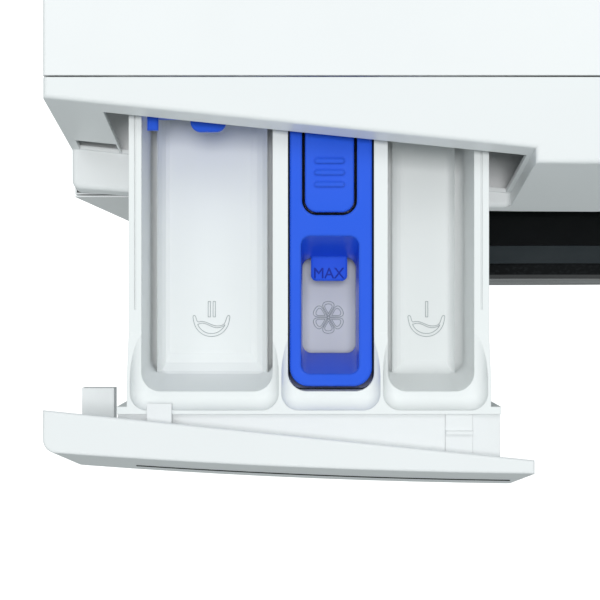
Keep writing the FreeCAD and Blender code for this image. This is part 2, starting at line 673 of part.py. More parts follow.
def drawer_front():
    """Hollow front moulding, rounded at its free corner, with the grip groove."""
    outer = drawer_block(0.0, -HALF_W, NOTCH_X1 - DRAWER_GAP, NOTCH_Z0 + DRAWER_GAP, HEIGHT, -DRAWER_GAP)
    outer = round_edges(outer, 7.0, lambda c: c.x < -HALF_W + 1 and c.y < -258.0 and 780 < c.z < 830)
    outer = round_edges(outer, 1.5, lambda c: c.z > HEIGHT - 0.1)
    corner_x = NOTCH_X1 - DRAWER_GAP
    corner_z = NOTCH_Z0 + DRAWER_GAP
    outer = outer.cut(prism([(corner_x - 2.4, -320.0, corner_z - 0.2), (corner_x + 0.2, -320.0, corner_z - 0.2),
                             (corner_x + 0.2, -320.0, corner_z + 2.4)], (0, 100.0, 0)))
    wall = FASCIA_WALL
    hollow = fascia_block(-HALF_W + wall, NOTCH_X1 - DRAWER_GAP - wall, NOTCH_Z0 + DRAWER_GAP + wall,
                          HEIGHT - wall, wall)
    body = outer.cut(hollow)
    groove = fascia_block(-258.0, -52.0, 789.0, 793.6, 1.4)
    skin = fascia_block(-259.0, -51.0, 788.0, 795.0, -3.0).cut(groove)
    skin = skin.common(box(-258.0, -52.0, -400, -200, 789.0, 793.6))
    body = body.cut(skin)
    body.translate(V(0, -TRAVEL, 0))
    return body


def drawer_grip_trim():
    """Bright strip let into the groove of the drawer front."""
    strip = fascia_block(-257.8, -52.2, 789.2, 793.4, -0.3)
    strip = strip.cut(fascia_block(-260.0, -50.0, 780.0, 800.0, 1.4))
    strip = strip.common(box(-300.0, 0.0, -300.0, -240.0, 780.0, 800.0))
    strip.translate(V(0, -TRAVEL, 0))
    return strip


def drawer_carrier():
    """Wedge box that joins the drawer front to the tray, with its clips and guide block."""
    y_rear = TRAY_FRONT_Y + TRAVEL - 0.1
    outer = notch_block(TRAY_PLATE_X0, TRAY_PLATE_X1, TRAY_Z0 + 0.5, 827.0, -DRAWER_GAP)
    wedge = box(TRAY_PLATE_X0, TRAY_PLATE_X1, -330.0, y_rear, TRAY_Z0 + 0.5, 827.0).cut(outer)
    inner = wedge.copy()
    inner = inner.common(box(TRAY_PLATE_X0 + 2, TRAY_PLATE_X1 - 2, -320.0, y_rear - 2.0, TRAY_Z0, 825.0))
    body = wedge.cut(inner)
    back = notch_block(-296.3, NOTCH_X1 - DRAWER_GAP - 2.7, 763.3, HEIGHT - 2.7, -DRAWER_GAP)
    back = back.cut(notch_block(-297.0, -40.0, 760.0, HEIGHT + 3.0, -DRAWER_GAP - 2.0))
    rim = fascia_block(-296.3, NOTCH_X1 - DRAWER_GAP - 2.7, 763.3, HEIGHT - 2.7, FASCIA_WALL + 0.2)
    body = body.fuse(back.common(rim))
    arm = box(-247.5, -234.5, notch_y(-240.0, 830.0) - 1.0, y_rear + 6.0, 831.6, 833.0)
    latch = box(-91.3, -77.1, notch_y(-84.0, 828.0) - 0.8, y_rear, 827.0, 829.0)
    ridge = box(-91.3, -77.1, -246.5, -244.5, 829.0, 831.5)
    block = box(-290.6, -272.6, notch_y(-281.0, 775.0) - 0.8, -384.6 + TRAVEL, 763.8, 775.0)
    body = fuse([body, arm, latch, ridge, block])
    body.translate(V(0, -TRAVEL, 0))
    return body


# ---------------------------------------------------------------- washing unit

def tub_front():
    """Front half of the tub with its mouth and joint flange."""
    profile = [
        (153.0, TUB_Y0 - 12.0), (157.0, TUB_Y0 - 12.0), (157.0, TUB_Y0), (TUB_R + TUB_WALL, TUB_Y0),
        (TUB_R + TUB_WALL, TUB_SPLIT_Y - 6.0), (TUB_R + 9.0, TUB_SPLIT_Y - 6.0), (TUB_R + 9.0, TUB_SPLIT_Y),
        (TUB_R, TUB_SPLIT_Y), (TUB_R, TUB_Y0 + TUB_WALL), (153.0, TUB_Y0 + TUB_WALL),
    ]
    body = turned(profile)
    body = body.fuse(rod(24.0, (0, -130, 160.0), (0, -130, 186.0)))
    return body.cut(rod(20.0, (0, -130, 158.0), (0, -130, 190.0))).removeSplitter()


def tub_rear():
    """Rear half of the tub: ribs, bearing hub, dispenser inlet, spring and damper lugs, motor ears."""
    y0 = TUB_SPLIT_Y + 0.2
    profile = [
        (TUB_R, y0), (TUB_R + 9.0, y0), (TUB_R + 9.0, y0 + 6.0), (TUB_R + TUB_WALL, y0 + 6.0),
        (TUB_R + TUB_WALL, TUB_Y1), (46.0, TUB_Y1), (46.0, 187.0), (35.0, 187.0), (35.0, TUB_Y1 - TUB_WALL),
        (TUB_R, TUB_Y1 - TUB_WALL),
    ]
    body = turned(profile)
    parts = [body]
    for i in range(12):
        rib = box(44.0, TUB_R, TUB_Y1 - 1.0, TUB_Y1 + 20.0, AXIS_Z - 1.5, AXIS_Z + 1.5)
        taper = prism([(44.0, TUB_Y1 + 21.0, AXIS_Z - 3), (TUB_R + 1, TUB_Y1 + 21.0, AXIS_Z - 3),
                       (TUB_R + 1, TUB_Y1 + 4.0, AXIS_Z - 3)], (0, 0, 6.0))
        rib = rib.cut(taper)
        rib.rotate(V(0, 0, AXIS_Z), V(0, 1, 0), 30.0 * i + 15.0)
        parts.append(rib)
    parts.append(rod(16.0, (-90, 40, 700.0), (-90, 40, 721.0)))
    for side in (-1, 1):
        x0, x1 = sorted((side * 205.0, side * 254.0))
        parts.append(box(x0, x1, SPRING_Y - 4.0, SPRING_Y + 4.0, 596.0, 622.0))
        x2, x3 = sorted((side * 150.0, side * 182.0))
        parts.append(box(x2, x3, DAMPER_Y - 12.0, DAMPER_Y - 8.0, 198.0, 250.0))
        parts.append(box(x2, x3, DAMPER_Y + 8.0, DAMPER_Y + 12.0, 198.0, 250.0))
    for x in (MOTOR_X - 48.0, MOTOR_X + 48.0):
        parts.append(box(x - 6.0, x + 6.0, 70.0, 140.0, 160.0, 236.0))
    body = fuse(parts)
    keep_out = rod(TUB_R, (0, y0 - 1, AXIS_Z), (0, TUB_Y1 - TUB_WALL, AXIS_Z))
    motor_room = rod(MOTOR_R + 0.2, (MOTOR_X, 60.0, MOTOR_Z), (MOTOR_X, 190.0, MOTOR_Z))
    body = body.cut(keep_out).cut(motor_room)
    body = body.cut(rod(12.5, (-90, 40, 690.0), (-90, 40, 723.0)))
    for side in (-1, 1):
        x = side * SPRING_X
        body = body.cut(rod(4.0, (x, SPRING_Y - 10.0, 610.0), (x, SPRING_Y + 10.0, 610.0)))
        body = body.cut(rod(4.2, (side * 166.0, 20.0, 212.0), (side * 166.0, 60.0, 212.0)))
    for x in (-22.0, 22.0):
        body = body.cut(rod(3.4, (x, 140.0, AXIS_Z - 256.5), (x, 152.0, AXIS_Z - 256.5)))
    return body.removeSplitter()


def door_seal():
    """Rubber bellows between the porthole rim and the tub mouth."""
    profile = [
        (170.5, -276.8), (174.5, -276.8), (174.5, -275.4), (171.5, -275.4), (171.5, -262.0), (176.0, -262.0),
        (176.0, -250.0), (168.0, -236.0), (176.0, -228.0), (160.0, -221.2), (157.2, -221.2), (157.2, -232.4),
        (152.8, -232.4), (152.8, -236.0), (160.0, -236.0), (160.0, -225.5), (169.0, -229.0),
        (163.0, -236.0), (173.0, -251.0), (173.0, -259.5), (163.0, -259.5), (160.0, -262.5),
        (163.0, -265.0), (168.5, -265.0), (168.5, -276.8),
    ]
    return turned(profile)


def front_counterweight():
    """Cast ring segment bolted to the tub's front."""
    ring = turned([(182.0, -256.0), (258.0, -256.0), (258.0, -222.0), (182.0, -222.0)])
    ring = ring.cut(box(-300, 300, -300, -200, AXIS_Z + 60.0, AXIS_Z + 300.0))
    ring = ring.cut(box(150, 300, -300, -200, AXIS_Z - 60.0, AXIS_Z + 300.0))
    ring = ring.cut(box(-300, -210, -300, -200, AXIS_Z - 70.0, AXIS_Z + 70.0))
    for a in (200.0, 235.0, 270.0, 305.0):
        x = 222.0 * cos(radians(a))
        z = AXIS_Z + 222.0 * sin(radians(a))
        ring = ring.cut(rod(8.0, (x, -257.0, z), (x, -238.0, z)))
    return max(ring.Solids, key=lambda s: s.Volume)


def top_counterweight():
    """Cast block saddled on top of the tub."""
    body = rounded_box(-40.0, 168.0, -55.0, 128.0, 690.0, 778.0, 12.0)
    body = body.cut(rod(TUB_R + 10.0, (0, -80, AXIS_Z), (0, 150, AXIS_Z)))
    seat = rod(TUB_R + 10.4, (0, -80, AXIS_Z), (0, 150, AXIS_Z))
    for x in (5.0, 120.0):
        body = body.cut(rod(11.0, (x, 36.0, 760.0), (x, 36.0, 780.0)))
    pads = []
    for x0, x1 in ((-20.0, 10.0), (110.0, 140.0)):
        pad = box(x0, x1, -20.0, 90.0, 690.0, 740.0).common(seat)
        pads.append(pad.cut(rod(TUB_R + TUB_WALL, (0, -80, AXIS_Z), (0, 150, AXIS_Z))))
    return fuse([body] + pads)


def suspension_springs():
    """Two coil springs with hooked ends, from the side rails to the tub's lugs."""
    solids = []
    for side in (-1, 1):
        x = side * SPRING_X
        y = SPRING_Y
        turns = Part.makeHelix(7.0, 126.0, 11.0)
        section = Part.Wire(Part.makeCircle(1.8, V(11.0, 0, 0), V(0, 1, 0)))
        coil = Part.Wire(turns).makePipeShell([section], True, True)
        coil.translate(V(x, y, 638.0))
        low = rod(1.8, (x + 11.0, y, 638.0), (x, y, 625.0))
        high = rod(1.8, (x + 11.0, y, 764.0), (x, y, 781.0))
        foot = rod(1.8, (x, y, 622.0), (x, y, 626.0))
        top = rod(1.8, (x, y, 780.0), (x, y, 784.0))
        solids.append(fuse([coil, low, high, foot, top]))
    return group(solids)


def damper_ends(side, y):
    """Lower pivot, upper pivot and direction of one damper."""
    low = V(side * 221.0, y, 64.0)
    high = V(side * 166.0, y, 212.0)
    return low, high, (high - low).normalize()


def damper_cylinders():
    """Friction damper tubes pinned to the base pan."""
    solids = []
    for side in (-1, 1):
        low, high, run = damper_ends(side, DAMPER_Y)
        start = low + run * 4.0
        tube = Part.makeCylinder(12.0, 90.0, start, run)
        bore = Part.makeCylinder(7.6, 82.0, start + run * 9.0, run)
        eye = rod(8.0, (low.x, low.y - 12.8, low.z), (low.x, low.y + 12.8, low.z))
        body = tube.fuse(eye).cut(bore)
        solids.append(body.removeSplitter())
    return group(solids)


def damper_rods():
    """Plungers pinned to the tub."""
    solids = []
    for side in (-1, 1):
        low, high, run = damper_ends(side, DAMPER_Y)
        start = low + run * 30.0
        length = (high - start).Length
        rod_body = Part.makeCylinder(7.4, length - 6.0, start, run)
        eye = rod(7.5, (high.x, high.y - 7.8, high.z), (high.x, high.y + 7.8, high.z))
        pin = rod(4.1, (high.x, high.y - 14.0, high.z), (high.x, high.y + 14.0, high.z))
        solids.append(fuse([rod_body, eye, pin]))
    return group(solids)


def heater_element():
    """Hairpin heater under the drum with its flange in the tub's rear wall."""
    limbs = []
    z = AXIS_Z - 256.5
    for x in (-22.0, 22.0):
        limbs.append(rod(3.3, (x, -20.0, z), (x, 164.0, z)))
    bend = Part.makeTorus(22.0, 3.3, V(0, -20.0, z), V(0, 0, 1))
    bend = bend.common(box(-40, 40, -60, -20.0, z - 10, z + 10))
    flange = rounded_box(-34.0, 34.0, TUB_Y1 + 0.0, TUB_Y1 + 3.0, z - 7.0, z + 9.0, 5.0, "Y")
    return fuse(limbs + [bend, flange])


def drum_bearings():
    """Two ball bearings and a shaft seal in the tub's hub."""
    solids = []
    for y0, y1 in ((154.0, 169.0), (171.0, 186.0)):
        ring = pipe(35.0, SHAFT_R + 0.05, (0, y0, AXIS_Z), (0, y1, AXIS_Z))
        groove = pipe(29.0, 21.0, (0, y0 - 1, AXIS_Z), (0, y0 + 1, AXIS_Z))
        solids.append(ring.cut(groove))
    solids.append(pipe(35.0, SHAFT_R + 0.1, (0, 147.5, AXIS_Z), (0, 153.0, AXIS_Z)))
    return group(solids)


def drum_shell():
    """Stainless drum with a rolled mouth and three rows of holes per side."""
    profile = [
        (160.0, DRUM_Y0 + 2.0), (162.0, DRUM_Y0), (DRUM_R - 6.0, DRUM_Y0), (DRUM_R, DRUM_Y0 + 6.0),
        (DRUM_R, DRUM_Y1), (0.0, DRUM_Y1), (0.0, DRUM_Y1 - 1.2), (DRUM_R - 1.2, DRUM_Y1 - 1.2),
        (DRUM_R - 1.2, DRUM_Y0 + 6.5), (DRUM_R - 6.5, DRUM_Y0 + 1.2), (162.5, DRUM_Y0 + 1.2),
        (160.8, DRUM_Y0 + 3.2),
    ]
    points = [V(r, y, AXIS_Z) for r, y in profile]
    face = Part.Face(Part.makePolygon(points + [points[0]]))
    return face.revolve(V(0, 0, AXIS_Z), V(0, 1, 0), 360)


def drum_lifters():
    """Three hollow paddles on the drum wall."""
    solids = []
    for i in range(3):
        outline = [(-34.0, 246.0), (-13.0, 196.0), (0.0, 190.0), (13.0, 196.0), (34.0, 246.0)]
        points = [(x, -170.0, AXIS_Z - z) for x, z in outline]
        paddle = prism(points, (0, 250.0, 0))
        inner = [(x * 0.82, -167.0, AXIS_Z - (z + 3.5)) for x, z in outline]
        paddle = paddle.cut(prism(inner, (0, 244.0, 0)))
        paddle = paddle.common(rod(DRUM_R - 1.2, (0, -180, AXIS_Z), (0, 100, AXIS_Z)))
        paddle.rotate(V(0, 0, AXIS_Z), V(0, 1, 0), 120.0 * i)
        solids.append(max(paddle.Solids, key=lambda s: s.Volume))
    return group(solids)


def drum_spider():
    """Cast three-armed spider with the drum shaft."""
    parts = [rod(40.0, (0, DRUM_Y1, AXIS_Z), (0, 140.0, AXIS_Z))]
    parts.append(rod(SHAFT_R, (0, 138.0, AXIS_Z), (0, 218.0, AXIS_Z)))
    for i in range(3):
        arm = prism([(30.0, DRUM_Y1, AXIS_Z - 20.0), (232.0, DRUM_Y1, AXIS_Z - 13.0),
                     (232.0, DRUM_Y1, AXIS_Z + 13.0), (30.0, DRUM_Y1, AXIS_Z + 20.0)], (0, 18.0, 0))
        arm.rotate(V(0, 0, AXIS_Z), V(0, 1, 0), 120.0 * i + 30.0)
        parts.append(arm)
    return fuse(parts)


def drum_pulley():
    """Spoked pulley on the drum shaft."""
    y1 = PULLEY_Y0 + BELT_W + 6.0
    rim = pipe(PULLEY_R + 3.0, PULLEY_R - 8.0, (0, PULLEY_Y0, AXIS_Z), (0, y1, AXIS_Z))
    rim = rim.cut(pipe(PULLEY_R + 9.0, PULLEY_R, (0, PULLEY_Y0 + 2, AXIS_Z), (0, y1 - 2, AXIS_Z)))
    hub = rod(26.0, (0, PULLEY_Y0 - 2, AXIS_Z), (0, y1 + 2, AXIS_Z))
    parts = [rim, hub]
    for i in range(5):
        spoke = box(20.0, PULLEY_R - 5.0, PULLEY_Y0 + 3, y1 - 3, AXIS_Z - 11.0, AXIS_Z + 11.0)
        spoke.rotate(V(0, 0, AXIS_Z), V(0, 1, 0), 72.0 * i)
        parts.append(spoke)
    return fuse(parts).cut(rod(SHAFT_R, (0, 180, AXIS_Z), (0, 230, AXIS_Z)))


def belt_loop(grow, y0, y1):
    """Solid hull round both pulleys, grown outward."""
    r1 = PULLEY_R + grow
    r2 = MOTOR_PULLEY_R + grow
    dx = MOTOR_X
    dz = MOTOR_Z - AXIS_Z
    span = hypot(dx, dz)
    heading = -acos(dx / span)
    lean = acos((r1 - r2) / span)
    corners = []
    for turn in (heading + lean, heading - lean):
        ux = cos(turn)
        uz = sin(turn)
        corners.append(((r1 * ux, y0, AXIS_Z + r1 * uz), (MOTOR_X + r2 * ux, y0, MOTOR_Z + r2 * uz)))
    quad = [corners[0][0], corners[0][1], (MOTOR_X, y0, MOTOR_Z), corners[1][1], corners[1][0], (0, y0, AXIS_Z)]
    band = prism(quad, (0, y1 - y0, 0))
    big = rod(r1, (0, y0, AXIS_Z), (0, y1, AXIS_Z))
    small = rod(r2, (MOTOR_X, y0, MOTOR_Z), (MOTOR_X, y1, MOTOR_Z))
    return fuse([band, big, small])


def drive_belt():
    """Flat ribbed belt, shown without its teeth."""
    y0 = PULLEY_Y0 + 3.0
    y1 = y0 + BELT_W
    return belt_loop(3.6, y0, y1).cut(belt_loop(0.4, y0 - 1, y1 + 1))


def motor_housing():
    """Motor body with cooling fins and two mounting ears."""
    body = rod(MOTOR_R, (MOTOR_X, 62.0, MOTOR_Z), (MOTOR_X, 172.0, MOTOR_Z))
    body = round_edges(body, 6.0, lambda c: True)
    for k in range(5):
        y = 84.0 + 14.0 * k
        body = body.cut(pipe(MOTOR_R + 5, MOTOR_R - 4.0, (MOTOR_X, y, MOTOR_Z), (MOTOR_X, y + 5, MOTOR_Z)))
    boss = rod(18.0, (MOTOR_X, 170.0, MOTOR_Z), (MOTOR_X, 184.0, MOTOR_Z))
    body = body.fuse(boss)
    body = body.cut(rod(6.06, (MOTOR_X, 100.0, MOTOR_Z), (MOTOR_X, 190.0, MOTOR_Z)))
    return body.removeSplitter()


def motor_pulley():
    """Rotor shaft and small pulley."""
    y1 = PULLEY_Y0 + BELT_W + 6.0
    shaft = rod(6.0, (MOTOR_X, 104.0, MOTOR_Z), (MOTOR_X, y1 + 2, MOTOR_Z))
    rim = rod(MOTOR_PULLEY_R + 3.0, (MOTOR_X, PULLEY_Y0, MOTOR_Z), (MOTOR_X, y1, MOTOR_Z))
    groove = pipe(MOTOR_PULLEY_R + 9, MOTOR_PULLEY_R, (MOTOR_X, PULLEY_Y0 + 2, MOTOR_Z), (MOTOR_X, y1 - 2, MOTOR_Z))
    return fuse([shaft, rim]).cut(groove)


def sump_hose():
    """Bellows hose from the tub's sump to the pump."""
    path = [(0, -130.0, 178.0), (0, -130.0, 96.0), (60.0, -130.0, PUMP_Z), (168.0, -130.0, PUMP_Z)]
    tube = hose(path, 27.0, 24.0, 26.0)
    return tube


def drain_pump():
    """Pump with its filter housing and pump motor."""
    housing = pipe(34.0, 30.0, (PUMP_X, -262.0, PUMP_Z), (PUMP_X, -106.0, PUMP_Z))
    wall = rod(33.0, (PUMP_X, -120.0, PUMP_Z), (PUMP_X, -106.0, PUMP_Z))
    motor = rod(26.0, (PUMP_X, -107.0, PUMP_Z), (PUMP_X, -52.0, PUMP_Z))
    motor = round_edges(motor, 4.0, lambda c: c.y > -60.0)
    inlet = rod(23.8, (158.0, -130.0, PUMP_Z), (180.0, -130.0, PUMP_Z))
    outlet = rod(12.0, (PUMP_X, -128.0, PUMP_Z), (PUMP_X + 52.0, -128.0, PUMP_Z))
    foot = box(PUMP_X - 26.0, PUMP_X + 26.0, -220.0, -150.0, 27.2, 56.0)
    body = fuse([housing, wall, motor, inlet, outlet, foot])
    body = body.cut(rod(30.0, (PUMP_X, -263.0, PUMP_Z), (PUMP_X, -120.0, PUMP_Z)))
    body = body.cut(rod(20.0, (150.0, -130.0, PUMP_Z), (200.0, -130.0, PUMP_Z)))
    return body.cut(rod(9.0, (PUMP_X, -128.0, PUMP_Z), (PUMP_X + 60.0, -128.0, PUMP_Z)))


def pump_filter():
    """Removable strainer with its turning handle."""
    handle = rod(29.6, (PUMP_X, -266.0, PUMP_Z), (PUMP_X, -254.0, PUMP_Z))
    handle = round_edges(handle, 2.0, lambda c: c.y < -265.0)
    bar = rounded_box(PUMP_X - 24.0, PUMP_X + 24.0, -271.0, -265.0, PUMP_Z - 4.0, PUMP_Z + 4.0, 2.0, "Y")
    cage = pipe(26.0, 23.5, (PUMP_X, -255.0, PUMP_Z), (PUMP_X, -150.0, PUMP_Z))
    for k in range(4):
        window = box(PUMP_X - 40.0, PUMP_X + 40.0, -240.0 + 22.0 * k, -228.0 + 22.0 * k, PUMP_Z - 9, PUMP_Z + 9)
        cage = cage.cut(window)
    return fuse([handle, bar, cage])


def drain_hose():
    """Grey hose from the pump up to the outlet spigot in the rear panel."""
    path = [(PUMP_X + 40.0, -128.0, PUMP_Z), (272.0, -128.0, PUMP_Z), (272.0, 200.0, PUMP_Z),
            (272.0, 232.0, 180.0), (272.0, 232.0, 560.0), (236.0, 232.0, 640.0), (236.0, 268.0, 640.0)]
    return hose(path, 14.5, 12.1, 16.0)


def drain_outlet():
    """Spigot in the rear panel for the outside drain hose."""
    spigot = pipe(10.5, 8.0, (236, 262.0, 640), (236, 300.0, 640))
    sleeve = pipe(12.0, 8.0, (236, 262.0, 640), (236, 275.0, 640))
    flange = pipe(18.0, 8.0, (236, 275.0, 640), (236, 277.5, 640))
    return fuse([spigot, sleeve, flange])


def door_lock():
    """Lock body behind the front panel with a slot for the hook."""
    body = rounded_box(180.0, 222.0, -273.6, -232.0, AXIS_Z - 34, AXIS_Z + 34, 3.0, "Y")
    slot = box(186.0, 210.0, -275.0, -240.0, AXIS_Z - 18, AXIS_Z + 18)
    return body.cut(slot)


def service_flap():
    """Small door over the pump filter, rounded along its hinge edge."""
    half = 1.25
    body = rounded_box(FLAP_X0, FLAP_X1, FRONT_Y, FRONT_Y + 2.0 * half, FLAP_Z0, FLAP_Z1, 2.0, "Y")
    body = body.cut(box(FLAP_X0 - 1, FLAP_X1 + 1, FRONT_Y - 1, FRONT_Y + 4, FLAP_Z0 - 1, FLAP_Z0 + 2.2))
    body = body.fuse(box(FLAP_X0, FLAP_X1, FRONT_Y, FRONT_Y + 2.0 * half, FLAP_Z0 + half, FLAP_Z0 + 2.3))
    edge_y = FRONT_Y + half
    edge_z = FLAP_Z0 + half
    body = body.fuse(rod(half, (FLAP_X0, edge_y, edge_z), (FLAP_X1, edge_y, edge_z)))
    pull = rounded_box(FLAP_X0 + 30, FLAP_X1 - 30, FRONT_Y - 0.1, FRONT_Y + 1.2, FLAP_Z1 - 8, FLAP_Z1 - 3, 1.5, "Y")
    return body.cut(pull)


# ---------------------------------------------------------------- door

def door_outer_ring():
    """Black outer ring with the hinge seat and the grip pocket."""
    profile = [
        (200.0, DOOR_REAR_Y - 2.0), (215.0, DOOR_REAR_Y), (DOOR_R, DOOR_REAR_Y - 4.0), (DOOR_R, -300.0),
        (212.0, -300.0), (212.0, -296.0), (200.0, -296.0),
    ]
    body = turned(profile)
    pocket = rounded_box(203.5, 226.0, -292.0, -276.0, AXIS_Z - 42, AXIS_Z + 42, 8.0, "Y")
    return body.cut(pocket)


def door_trim_ring():
    """Dark metallic bezel."""
    profile = [(213.0, -300.2), (DOOR_R - 0.2, -300.2), (DOOR_R - 5.5, -311.4), (208.0, -311.4), (208.0, -306.0)]
    return turned(profile)


def door_cover_pane():
    """Outer pane, domed at its edge, clear in the middle."""
    profile = [
        (0.0, -321.0), (196.0, -321.0), (205.0, -318.5), (211.0, -313.0), (211.5, -311.6), (207.5, -311.6),
        (207.5, -305.0), (203.5, -305.0), (203.5, -313.0), (195.0, -317.5), (0.0, -317.5),
    ]
    points = [V(r, y, AXIS_Z) for r, y in profile]
    face = Part.Face(Part.makePolygon(points + [points[0]]))
    return face.revolve(V(0, 0, AXIS_Z), V(0, 1, 0), 360)


def door_inner_ring():
    """Inner frame that clamps the glass bowl and carries the hook."""
    profile = [
        (166.0, -279.5), (199.5, -279.5), (199.5, -304.5), (196.0, -304.5), (196.0, -284.0), (178.0, -284.0),
        (178.0, -288.2), (172.0, -288.2), (172.0, -284.2), (166.0, -284.2),
    ]
    body = turned(profile)
    return body.cut(box(187.0, 201.0, -300.0, -275.0, AXIS_Z - 15, AXIS_Z + 15))


def door_glass():
    """Pressed glass bowl."""
    profile = [
        (171.5, -288.0), (171.5, -284.4), (158.0, -284.4), (148.0, -262.0), (116.0, -207.0), (96.0, -196.0),
        (62.0, -191.0), (0.0, -189.0), (0.0, -194.0), (60.0, -196.0), (93.0, -201.0), (111.5, -210.5),
        (143.0, -263.5), (153.0, -288.0),
    ]
    points = [V(r, y, AXIS_Z) for r, y in profile]
    face = Part.Face(Part.makePolygon(points + [points[0]]))
    return face.revolve(V(0, 0, AXIS_Z), V(0, 1, 0), 360)


def hinge_bracket():
    """Plate on the front panel with two knuckles and the hinge pin."""
    plate = rounded_box(-262.0, -236.0, FRONT_Y - 3.0, FRONT_Y, AXIS_Z - 56, AXIS_Z + 56, 4.0, "Y")
    parts = [plate]
    for z0, z1 in ((AXIS_Z - 46, AXIS_Z - 26), (AXIS_Z + 26, AXIS_Z + 46)):
        parts.append(rod(6.0, (HINGE_X, HINGE_Y, z0), (HINGE_X, HINGE_Y, z1)))
        parts.append(prism([(HINGE_X - 6.0, HINGE_Y, z0), (HINGE_X, HINGE_Y + 6.0, z0), (-242.0, FRONT_Y - 2, z0),
                            (-254.0, FRONT_Y - 2, z0)], (0, 0, z1 - z0)))
    parts.append(rod(2.5, (HINGE_X, HINGE_Y, AXIS_Z - 46), (HINGE_X, HINGE_Y, AXIS_Z + 46)))
    return fuse(parts)


def door_hinge_leaf():
    """Knuckle and arm screwed into the door's edge."""
    knuckle = rod(5.6, (HINGE_X, HINGE_Y, AXIS_Z - 25.4), (HINGE_X, HINGE_Y, AXIS_Z + 25.4))
    arm = box(HINGE_X, -214.0, HINGE_Y - 5.0, HINGE_Y, AXIS_Z - 25.4, AXIS_Z + 25.4)
    body = knuckle.fuse(arm).cut(rod(DOOR_R + 0.02, (0, -320.0, AXIS_Z), (0, -270.0, AXIS_Z)))
    return body.cut(rod(2.56, (HINGE_X, HINGE_Y, AXIS_Z - 30), (HINGE_X, HINGE_Y, AXIS_Z + 30)))


def latch_hook():
    """Sprung hook that enters the lock."""
    points = [(191.0, -288.0), (197.0, -288.0), (197.0, -262.0), (202.0, -256.0), (202.0, -252.0), (196.0, -247.0),
              (191.0, -252.0)]
    hook = prism([(x, y, AXIS_Z - 12.0) for x, y in points], (0, 0, 24.0))
    return hook.fuse(rod(3.4, (194.0, -286.0, AXIS_Z - 12.0), (194.0, -286.0, AXIS_Z + 12.0)))


NODES = {
    "side_panel_left": lambda: side_panel(-1),
    "side_panel_right": lambda: side_panel(1),
    "rear_panel": rear_panel,
    "rear_access_cover": rear_access_cover,
    "rear_screws": rear_screws,
    "front_panel": front_panel,
    "kick_plinth": kick_plinth,
    "base_pan": base_pan,
    "levelling_feet": levelling_feet,
    "cross_rails": cross_rails,
    "worktop": worktop,
    "control_fascia": control_fascia,
    "control_module": control_module,
    "display_window": display_window,
    "programme_knob": programme_knob,
    "start_button": start_button,
    "dispenser_housing": dispenser_housing,
    "dispenser_lid": dispenser_lid,
    "inlet_valve": inlet_valve,
    "inlet_hose": inlet_hose,
    "dispenser_hose": dispenser_hose,
    "drawer_tray": drawer_tray,
    "softener_insert": softener_insert,
    "release_tab": release_tab,
    "liquid_flap": liquid_flap,
    "drawer_front": drawer_front,
    "drawer_grip_trim": drawer_grip_trim,
    "drawer_carrier": drawer_carrier,
    "tub_front": tub_front,
    "tub_rear": tub_rear,
    "door_seal": door_seal,
    "front_counterweight": front_counterweight,
    "top_counterweight": top_counterweight,
    "suspension_springs": suspension_springs,
    "damper_cylinders": damper_cylinders,
    "damper_rods": damper_rods,
    "heater_element": heater_element,
    "drum_bearings": drum_bearings,
    "drum_shell": drum_shell,
    "drum_lifters": drum_lifters,
    "drum_spider": drum_spider,
    "drum_pulley": drum_pulley,
    "drive_belt": drive_belt,
    "motor_housing": motor_housing,
    "motor_pulley": motor_pulley,
    "sump_hose": sump_hose,
    "drain_pump": drain_pump,
    "pump_filter": pump_filter,
    "drain_hose": drain_hose,
    "drain_outlet": drain_outlet,
    "door_lock": door_lock,
    "service_flap": service_flap,
    "door_outer_ring": door_outer_ring,
    "door_trim_ring": door_trim_ring,
    "door_cover_pane": door_cover_pane,
    "door_inner_ring": door_inner_ring,
    "door_glass": door_glass,
    "hinge_bracket": hinge_bracket,
    "door_hinge_leaf": door_hinge_leaf,
    "latch_hook": latch_hook,
}

for node, maker in NODES.items():
    save(node, maker())
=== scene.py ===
"""Looks for the front load washing machine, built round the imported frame."""

import json
import logging
import math
from dataclasses import dataclass, field
from enum import Enum
from typing import Optional, Sequence

import bpy
from mathutils import Matrix, Vector


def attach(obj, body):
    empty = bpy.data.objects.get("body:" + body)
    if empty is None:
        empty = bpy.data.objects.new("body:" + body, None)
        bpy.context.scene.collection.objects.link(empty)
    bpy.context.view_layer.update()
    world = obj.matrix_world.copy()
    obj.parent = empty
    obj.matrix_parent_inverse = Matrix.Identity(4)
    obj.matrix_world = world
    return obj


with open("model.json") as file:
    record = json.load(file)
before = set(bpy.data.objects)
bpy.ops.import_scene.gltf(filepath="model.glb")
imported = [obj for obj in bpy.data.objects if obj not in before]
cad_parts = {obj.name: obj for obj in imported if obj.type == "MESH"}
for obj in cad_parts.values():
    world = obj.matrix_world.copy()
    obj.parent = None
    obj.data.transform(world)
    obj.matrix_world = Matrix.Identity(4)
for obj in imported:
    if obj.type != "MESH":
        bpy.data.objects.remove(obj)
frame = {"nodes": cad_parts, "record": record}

LOG = logging.getLogger("washing_machine")
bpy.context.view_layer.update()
MM = 0.001

Colour = tuple[float, float, float, float]


class Pattern(Enum):
    """What a surface's fine detail looks like."""

    MOULDED = "moulded"
    ENAMEL = "enamel"
    BRUSHED = "brushed"
    SPANGLE = "spangle"
    SPECKLED = "speckled"
    CAST = "cast"
    TURNED = "turned"
    CLEAR = "clear"
    PERFORATED = "perforated"


class Group(Enum):
    """Shared shader effects, by the name of their node group."""

    GRAIN = "SurfaceGrain"
    EDGE = "EdgeTint"
    DUST = "DustFilm"


def rgb(red: float, green: float, blue: float, alpha: float = 1.0) -> Colour:
    """A colour with its alpha."""
    return (red, green, blue, alpha)


